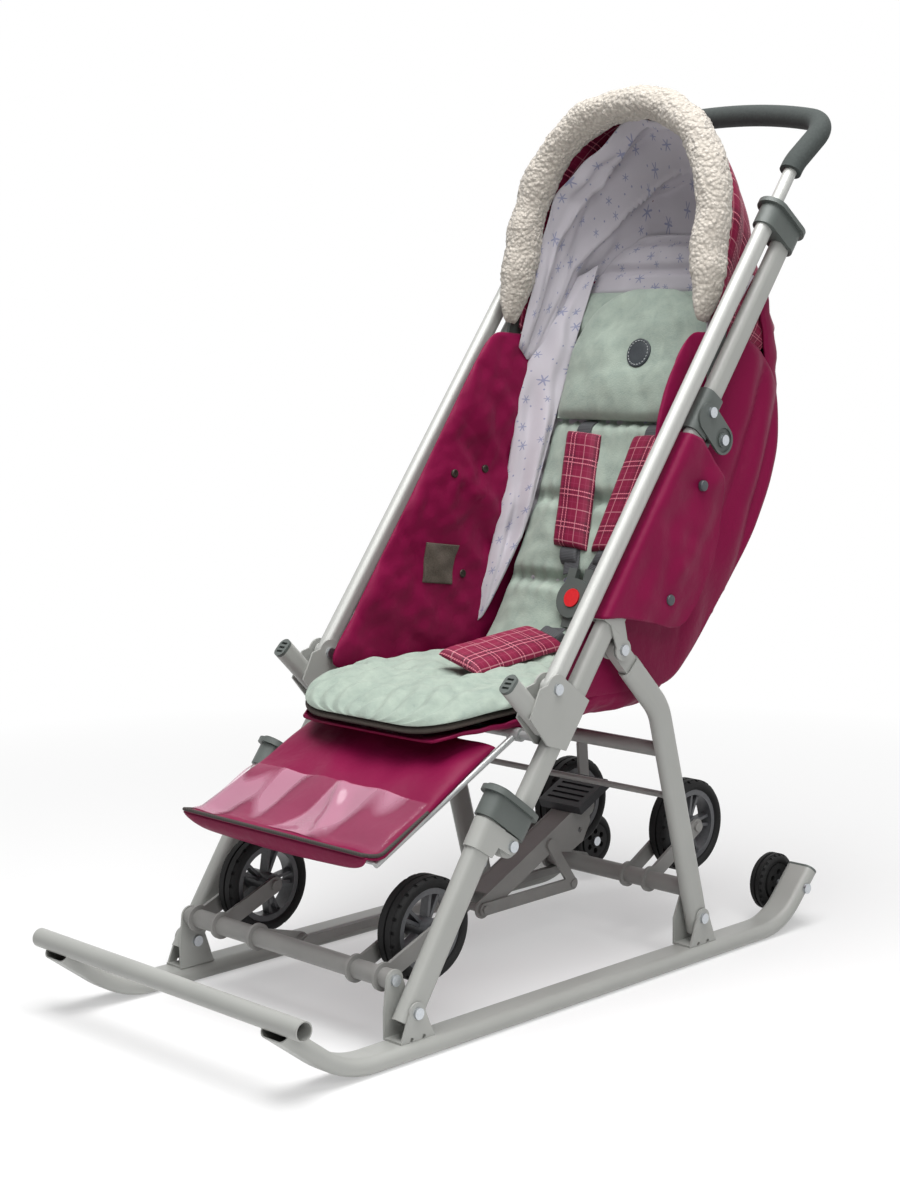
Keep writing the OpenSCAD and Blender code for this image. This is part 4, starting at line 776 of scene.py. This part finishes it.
# Badge on the pillow: a blank disc of dark rubber with a ring of stitches, sewn to the velour. The
# thread's twist is drawn every 1.6 mm.
badge_rubber = plain("moulded_badge_rubber", "24282c", "343a3f", (500.0, 2.0), Roughness=0.6)
stitch = plain("pale_sewing_thread", "9fa5a6", "cfd3d2", (400.0, "DIAGONAL", "Object"), Roughness=0.8)


def badge_spot(r, a, h):
    """Point of the badge: out from its middle at an angle, and above the pillow's front."""
    x, s = 13.0 + r * np.cos(a), 374.0 + r * np.sin(a)
    v = (s - pillow_from) / pillow_len
    return back_spot(x, s, pillow_front(x / pillow_half(v) / 2 + 0.5, v) + h)


profile = np.array([(19.0, -5.4), (19.0, 1.4), (18.0, 2.4), (16.6, 2.6), (15.8, 2.1), (15.0, 2.5), (8.0, 2.6),
                    (0.0, 2.6)])
badge = cloth("pillow_badge", *badge_spot(profile[:, :1], circle(48), profile[:, 1:]), badge_rubber,
              wrap=True)
seat_piece(badge)
dash, lift = np.linspace(-0.07, 0.07, 5), np.array([2.0, 2.9, 3.2, 2.9, 2.0])
for k, heading in enumerate(circle(22)):
    strand = tube("badge_stitch_%d" % (5 * k), *badge_spot(15.8, heading + dash, lift), 0.55, stitch, 6)
    seat_piece(strand)

# Harness: webbing straps that meet in the buckle, two from the shoulders and one from the seat, in
# plaid sleeves padded with thin foam.
plaid, add, at = blank("woven_plaid")
# A check that repeats every 44 mm: a dark band, a pair of pale lines and fainter single lines, 1 to
# 1.4 mm wide. The twill that breaks the pale lines is drawn every 3.3 mm.
part = add("SeparateXYZ", Vector=at["UV"])
lines = []
for axis in ("X", "Y"):
    beat = add("Math", "PINGPONG", _0=part.outputs[axis], _1=0.022)
    for spot, width in ((0.0032, 0.0007), (0.0125, 0.0005), (0.022, 0.0007)):
        lines.append(add("Math", "COMPARE", _0=beat, _1=spot, _2=width))
    lines.append(add("Math", "LESS_THAN", _0=beat, _1=0.0075))
pale, pink, cream = (add("Math", "MAXIMUM", _0=lines[k], _1=lines[k + 4]) for k in range(3))
weft = add("Math", "MULTIPLY", _0=lines[7], _1=0.4)
band = add("Math", "MULTIPLY_ADD", _0=lines[3], _1=0.5, _2=weft)
twill = add("TexWave", "DIAGONAL", Vector=at["UV"], Scale=190.0).outputs[1]
broken = add("MapRange", Value=twill, To_Min=0.25, To_Max=0.85)
tone = add("Mix", "RGBA", _0=band, _6="7b1037", _7="4f0a26")
for line, strength, colour in ((pink, 0.12, "c76884"), (pale, broken, "f08fa0"), (cream, 0.3, "f3bcc2")):
    share = add("Math", "MULTIPLY", _0=line, _1=strength)
    tone = add("Mix", "RGBA", _0=share, _6=tone, _7=colour)
bump = add("Bump", Strength=0.15, Distance=0.0005, Height=twill)
skin = add("BsdfPrincipled", Base_Color=tone, Roughness=0.6, Specular_IOR_Level=0.3, Sheen_Weight=0.05,
           Sheen_Tint="e0a0b0", Normal=bump)
add("OutputMaterial", Surface=skin)

sleeve_half, strap_x = 29.0, 58.0


def shoulder(side, u, v, h):
    """Point of a shoulder sleeve: across its width, down its line, and above the back liner."""
    x = mix(strap_x, 33.0, v) + mix(-sleeve_half, sleeve_half, u)
    return back_spot(side * x, mix(268.0, 112.0, v) + 4.0 * (u - 0.5), 22.0 + h)


def crotch(side, u, v, h):
    """Point of the crotch sleeve: across its width, forward from the buckle, and above the seat liner."""
    x = mix(10.0, 30.0, v) + side * mix(-sleeve_half, sleeve_half, u)
    rise = 25.5 + 20.0 * (1 - u) + 3.0 * np.cos(np.pi * v / 2)
    return seat_spot(x, mix(255.0, 80.0, v) + mix(-4.0, 4.0, u), rise + h)


for side, name, lay, seed in ((1, "shoulder_sleeve_left", shoulder, 101),
                              (-1, "shoulder_sleeve_right", shoulder, 102),
                              (1, "crotch_sleeve", crotch, 105)):
    sleeve = cushion(name, lambda u, v, h: lay(side, u, v, h),
                     lambda u, v: (3.0 + 11.0 * swell(u, v, 4, 24)
                                   + 0.4 * ripple(50 * u, 150 * v, 45, seed) * swell(u, v, 4, 8)),
                     lambda u, v: 3.0 - 3.0 * swell(u, v, 10, 30), plaid, 40, 80)
    seat_piece(sleeve, "harness_pads")

# Ribs of the weave every 2 mm.
strap_web = plain("woven_polyester_webbing", "2a2b2d", "4b4d50", (150.0, "Y", "UV"), bump=(0.4, 0.0006),
                  Roughness=0.7)


def webbing(name, x, y, z):
    """Flat strap along a line: a thin rounded section, 24 by 1.6 mm, with its width along X."""
    wide, thick = (np.sign(f) * np.abs(f) ** 0.4 for f in (np.cos(circle(20)), np.sin(circle(20))))
    strap = sweep(name, x, y, z, lambda t: [1.0, 0, 0] - t * t[:, :1], 12.0 * wide, 0.8 * thick, strap_web)
    seat_piece(strap, "harness_straps")


def strap_fold(name, place):
    """Folded end of a strap: a small roll that lies along the surface given by place."""
    fold = cushion("strap_fold_" + name, place, lambda u, v: 9.0 * swell(u, v, 14, 2.5),
                   lambda u, v: -3.0 * swell(u, v, 14, 3), strap_web, 20, 24)
    seat_piece(fold)


t = np.linspace(0, 1, 30)
fold_half = 15.0
for side, name in sides:
    run = mix(258.0, 286.0, t)
    webbing("shoulder_strap_" + name,
            *back_spot(side * strap_x, run, liner_front(strap_x, run) + 4.0 - 3.0 * t))
    webbing("buckle_strap_" + name,
            *back_spot(side * mix(29.0, 18.0, t), mix(118.0, 78.0, t), mix(25.0, 30.0, t)))
webbing("crotch_strap", *crotch(1, 0.5, mix(0.1, -0.16, t), 3.0 + 9.0 * t * t))
for side, name in sides:
    strap_fold(name, lambda u, v, h: back_spot(side * (mix(33.0, 27.0, v) + mix(-fold_half, fold_half, u)),
                                               mix(114.0, 90.0, v), 23.5 + h))
strap_fold("crotch", lambda u, v, h: seat_spot(8.0 + mix(-fold_half, fold_half, u), mix(252.0, 278.0, v),
                                               38.0 + h + 12.0 * v - 8.0 * u))

# Buckle: a moulded plastic case in the collars' polyamide, with a glossy red release button that moves
# in it.
dress(collar_plastic, "buckle")
red_plastic = plain("moulded_red_acetal", "d0121a", "e8202a", (300.0, 2.0), Roughness=0.3)
dress(red_plastic, "buckle_button")

# Hood: a bowed arm edged with a roll of curly fleece, and a canopy of plaid that runs from the roll
# back to the top of the bag, with a loose printed lining inside.
fleece, add, at = blank("curly_sheep_fleece")
# Curls of 5 mm in clumps of 25 mm.
curl = add("TexVoronoi", Vector=at["Object"], Scale=210.0, Randomness=1.0).outputs["Distance"]
clump = add("TexNoise", Vector=at["Object"], Scale=40.0, Detail=4.0)
# Painted shade: the colour goes from pale in the middle of each curl to darker in the hollows between curls.
painted_curl_shade = add("MapRange", Value=curl, From_Min=0.1, From_Max=0.7)
tone = add("Mix", "RGBA", _0=painted_curl_shade, _6="cec7bd", _7="a59d93")
warm = add("Mix", "RGBA", _0=clump, _6=tone, _7="c0b9af")
bump = add("Bump", True, Strength=0.8, Distance=0.003, Height=curl)
skin = add("BsdfPrincipled", Base_Color=warm, Roughness=1.0, Sheen_Weight=0.2, Sheen_Roughness=0.6,
           Normal=bump)
add("OutputMaterial", Surface=skin)

hood_pivot, hood_slope = go(knee, upright_slope, 570.0, 38.7), 78.0


def worley(p, size, seed):
    """Distance from each point to the nearest of seeded points, one in each cube of a lattice, in cubes."""
    q = p / size
    base = np.floor(q).astype(int)
    best = np.full(len(p), 9.0)
    for step in np.stack(np.meshgrid(*[[-1, 0, 1]] * 3, indexing="ij"), -1).reshape(-1, 3):
        cube = base + step
        mixed = (cube[:, 0] * 73856093) ^ (cube[:, 1] * 19349663) ^ (cube[:, 2] * 83492791) ^ seed
        jitter = np.stack([((mixed * m) % 65521) / 65521.0 for m in (40503, 30029, 52711)], -1)
        best = np.minimum(best, np.linalg.norm(cube + jitter - q, axis=1))
    return best


def hood_arch(t):
    """Arch of the hood, a little fuller than an ellipse: across and out from its pivot, as shares of its
    half width and reach, as t goes from 0 to pi."""
    return -np.sign(np.cos(t)) * np.abs(np.cos(t)) ** 0.88, np.sin(t) ** 0.84


def shoulders(high, share):
    """Widening of the arch above its sides, by a share of its width."""
    return 1 + share * ramp(high, 0.3, 0.7)


t = np.linspace(0, np.pi, 520)[:, None]
wide, high = hood_arch(t)
y, z = go(hood_pivot, hood_slope, mix(142.0, 424.0, high), -17.0)
centre = np.concatenate([162.0 * wide * shoulders(high, 0.1), y, z], 1)
rear = np.array([0.0, np.sin(np.radians(hood_slope)), -np.cos(np.radians(hood_slope))])
outward = unit(np.cross(unit(np.gradient(centre, axis=0)), rear))
a = circle(130)[:, None]
taper = ramp(np.minimum(t, np.pi - t), 0, 0.16) ** 0.5
r_out, r_back = 21.0 * taper, 25.0 * (0.35 + 0.65 * taper)
radial = outward[:, None] * np.cos(a) * r_out[:, None] + rear * np.sin(a) * r_back[:, None]
roll = centre[:, None] + radial
flat = roll.reshape(-1, 3)
curls = (1 - worley(flat, 8.5, 7)) * 2.4 + (1 - worley(flat, 4.2, 19)) * 1.4 - 1.6
curls += 0.9 * ripple(flat[:, 0] + flat[:, 1], flat[:, 2], 60, 111)
radial /= np.maximum(np.linalg.norm(radial, axis=2, keepdims=True), 1e-6)
roll = roll + radial * curls.reshape(roll.shape[:2])[..., None] * np.clip(taper[:, None] * 1.2, 0, 1)
# The handle's tubes press the roll flat at its sides.
x = np.clip(roll[..., 0], -184.0, 184.0)
hood_roll = cloth("hood_fleece_roll", x, roll[..., 1], roll[..., 2], fleece, wrap=True)
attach(hood_roll, "hood")
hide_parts("hood_fleece")


def canopy(u, v, inset, drop=0.0):
    """Point of the hood's skin: round the arch as u goes from 0 to 1, and from the fleece back and down to
    the bag's top as v does; inset lies inside the skin, and drop lengthens its side ends."""
    wide, high = hood_arch(np.pi * u)
    lean = np.interp(v, [0, 0.35, 0.7, 1], [hood_slope, 67, 55, 39])
    half = np.interp(v, [0, 0.5, 1], [164, 162, 164]) - inset
    foot = np.interp(v, [0, 0.35, 0.7, 1], [140, 128, 140, 168]) - drop
    top = np.interp(v, [0, 0.15, 0.35, 0.7, 1], [427, 426, 408, 342, 262]) - inset
    return half * wide * shoulders(high, 0.08), *go(hood_pivot, lean, mix(foot, top, high), 1.0 - v)


# The skin and its lining run from the bag's top to the roll.
u, v = np.meshgrid(np.linspace(0, 1, 150), np.linspace(0, 1, 70))
slack = 3.0 * ripple(500 * u, 120 * v, 110, 121)
slack = slack + 5.0 * np.sin(np.pi * v) * (1 - np.abs(np.sin(3 * np.pi * v)))
hood_skin = cloth("hood_canopy_skin", *canopy(u, v, 2.0 + slack * ramp(v, 0, 0.2)), plaid)
thicken(hood_skin, 0.0025)
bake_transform(hood_skin)
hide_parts("hood_canopy")

hang = 7.0 + 8.0 * np.abs(ripple(420 * u, 260 * v, 120, 131)) + 2.0 * ripple(500 * u, 300 * v, 45, 132)
crest = np.abs(np.sin(np.pi * (3.6 * v + 1.4 * u + 0.2 * ripple(400 * u, 200 * v, 160, 133))))
fall = 30.0 * np.sin(np.pi * u) * np.sin(np.pi * v) ** 0.5 * (1 - crest ** 0.5)
swag = 5.0 + hang * np.sin(np.pi * u) ** 0.5 + fall
hood_lining = cloth("hood_lining", *(g[:, ::-1] for g in canopy(u, 0.02 + 0.96 * v, swag, 26.0)), lining)
thicken(hood_lining, 0.0015)
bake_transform(hood_lining)

# Studio: a white floor that runs into a white surround, a large soft lamp above and a weaker one from
# the right front, and the camera at the photograph's place.


def seen_rays(add):
    """1 for rays from the camera, off gloss and through clear skins, and 0 for rays that carry light."""
    path = add("LightPath").outputs
    rays = add("Math", "MAXIMUM", _0=path["Is Camera Ray"], _1=path["Is Glossy Ray"])
    return add("Math", "MAXIMUM", _0=rays, _1=path["Is Transmission Ray"])


floor_mesh = bpy.data.meshes.new("floor")
floor_mesh.from_pydata([(-40, -40, 0), (40, -40, 0), (40, 40, 0), (-40, 40, 0)], [], [(0, 1, 2, 3)])
floor = bpy.data.objects.new("floor", floor_mesh)
bpy.context.scene.collection.objects.link(floor)
paper, add, at = blank("white_studio_paper")
# Near the object the floor takes shadows, and from 1.8 m on it glows as white as the surround.
away = add("VectorMath", "LENGTH", _0=at["Object"])
fade = add("MapRange", Value=away, From_Min=0.5, From_Max=1.8, To_Min=0.42, To_Max=1.0)
share = add("Math", "MULTIPLY", _0=seen_rays(add), _1=fade)
matt = add("BsdfDiffuse", Color=(0.9, 0.9, 0.9, 1.0))
glow = add("Emission", Color=(1.0, 1.0, 1.0, 1.0), Strength=1.0)
both = add("MixShader", _0=share, _1=matt, _2=glow)
add("OutputMaterial", Surface=both)
floor_mesh.materials.append(paper)

world = bpy.data.worlds.new("surround")
bpy.context.scene.world = world
world.use_nodes = True
world.node_tree.nodes.clear()
add = adder(world.node_tree)
level = add("MapRange", Value=seen_rays(add), To_Min=0.1, To_Max=1.0)
sky = add("Background", Color=(1.0, 1.0, 1.0, 1.0), Strength=level)
add("OutputWorld", Surface=sky)


def stand(name, data, right, ahead, spot):
    """Puts a lamp or a camera at a spot, facing ahead, with its X along right."""
    thing = bpy.data.objects.new(name, data)
    bpy.context.scene.collection.objects.link(thing)
    m = np.eye(4)
    m[:3, 0], m[:3, 1], m[:3, 2], m[:3, 3] = right, np.cross(right, ahead), -ahead, spot
    thing.matrix_world = m.T.tolist()
    return thing


for name, spot, aim, size, power in (("key_box", (0.3, -0.3, 3.0), (0.0, -0.1, 0.4), 2.2, 112.0),
                                     ("fill_box", (2.3, -1.2, 2.1), (0.0, 0.0, 0.5), 1.5, 28.0)):
    lamp = bpy.data.lights.new(name, "AREA")
    lamp.size, lamp.energy = size, power
    ahead = unit(np.subtract(aim, spot))
    stand(name, lamp, unit(np.cross(ahead, [0, 0, 1.0])), ahead, spot)

lens = bpy.data.cameras.new("photo_camera")
lens.lens, lens.sensor_width, lens.clip_end = 62.77, 36.0, 200.0
turn, pitch, bank = np.radians([45.47, 7.57, -0.43])
ahead = np.array([-np.sin(turn) * np.cos(pitch), np.cos(turn) * np.cos(pitch), -np.sin(pitch)])
right = np.array([np.cos(turn), np.sin(turn), 0.0])
right = right * np.cos(bank) + np.cross(right, ahead) * np.sin(bank)
camera = stand("photo_camera", lens, right, ahead, (1.7783, (-1452.3 - mid) / 1000.0, 0.7855))
bpy.context.scene.camera = camera
bpy.context.scene.view_settings.view_transform = "Standard"
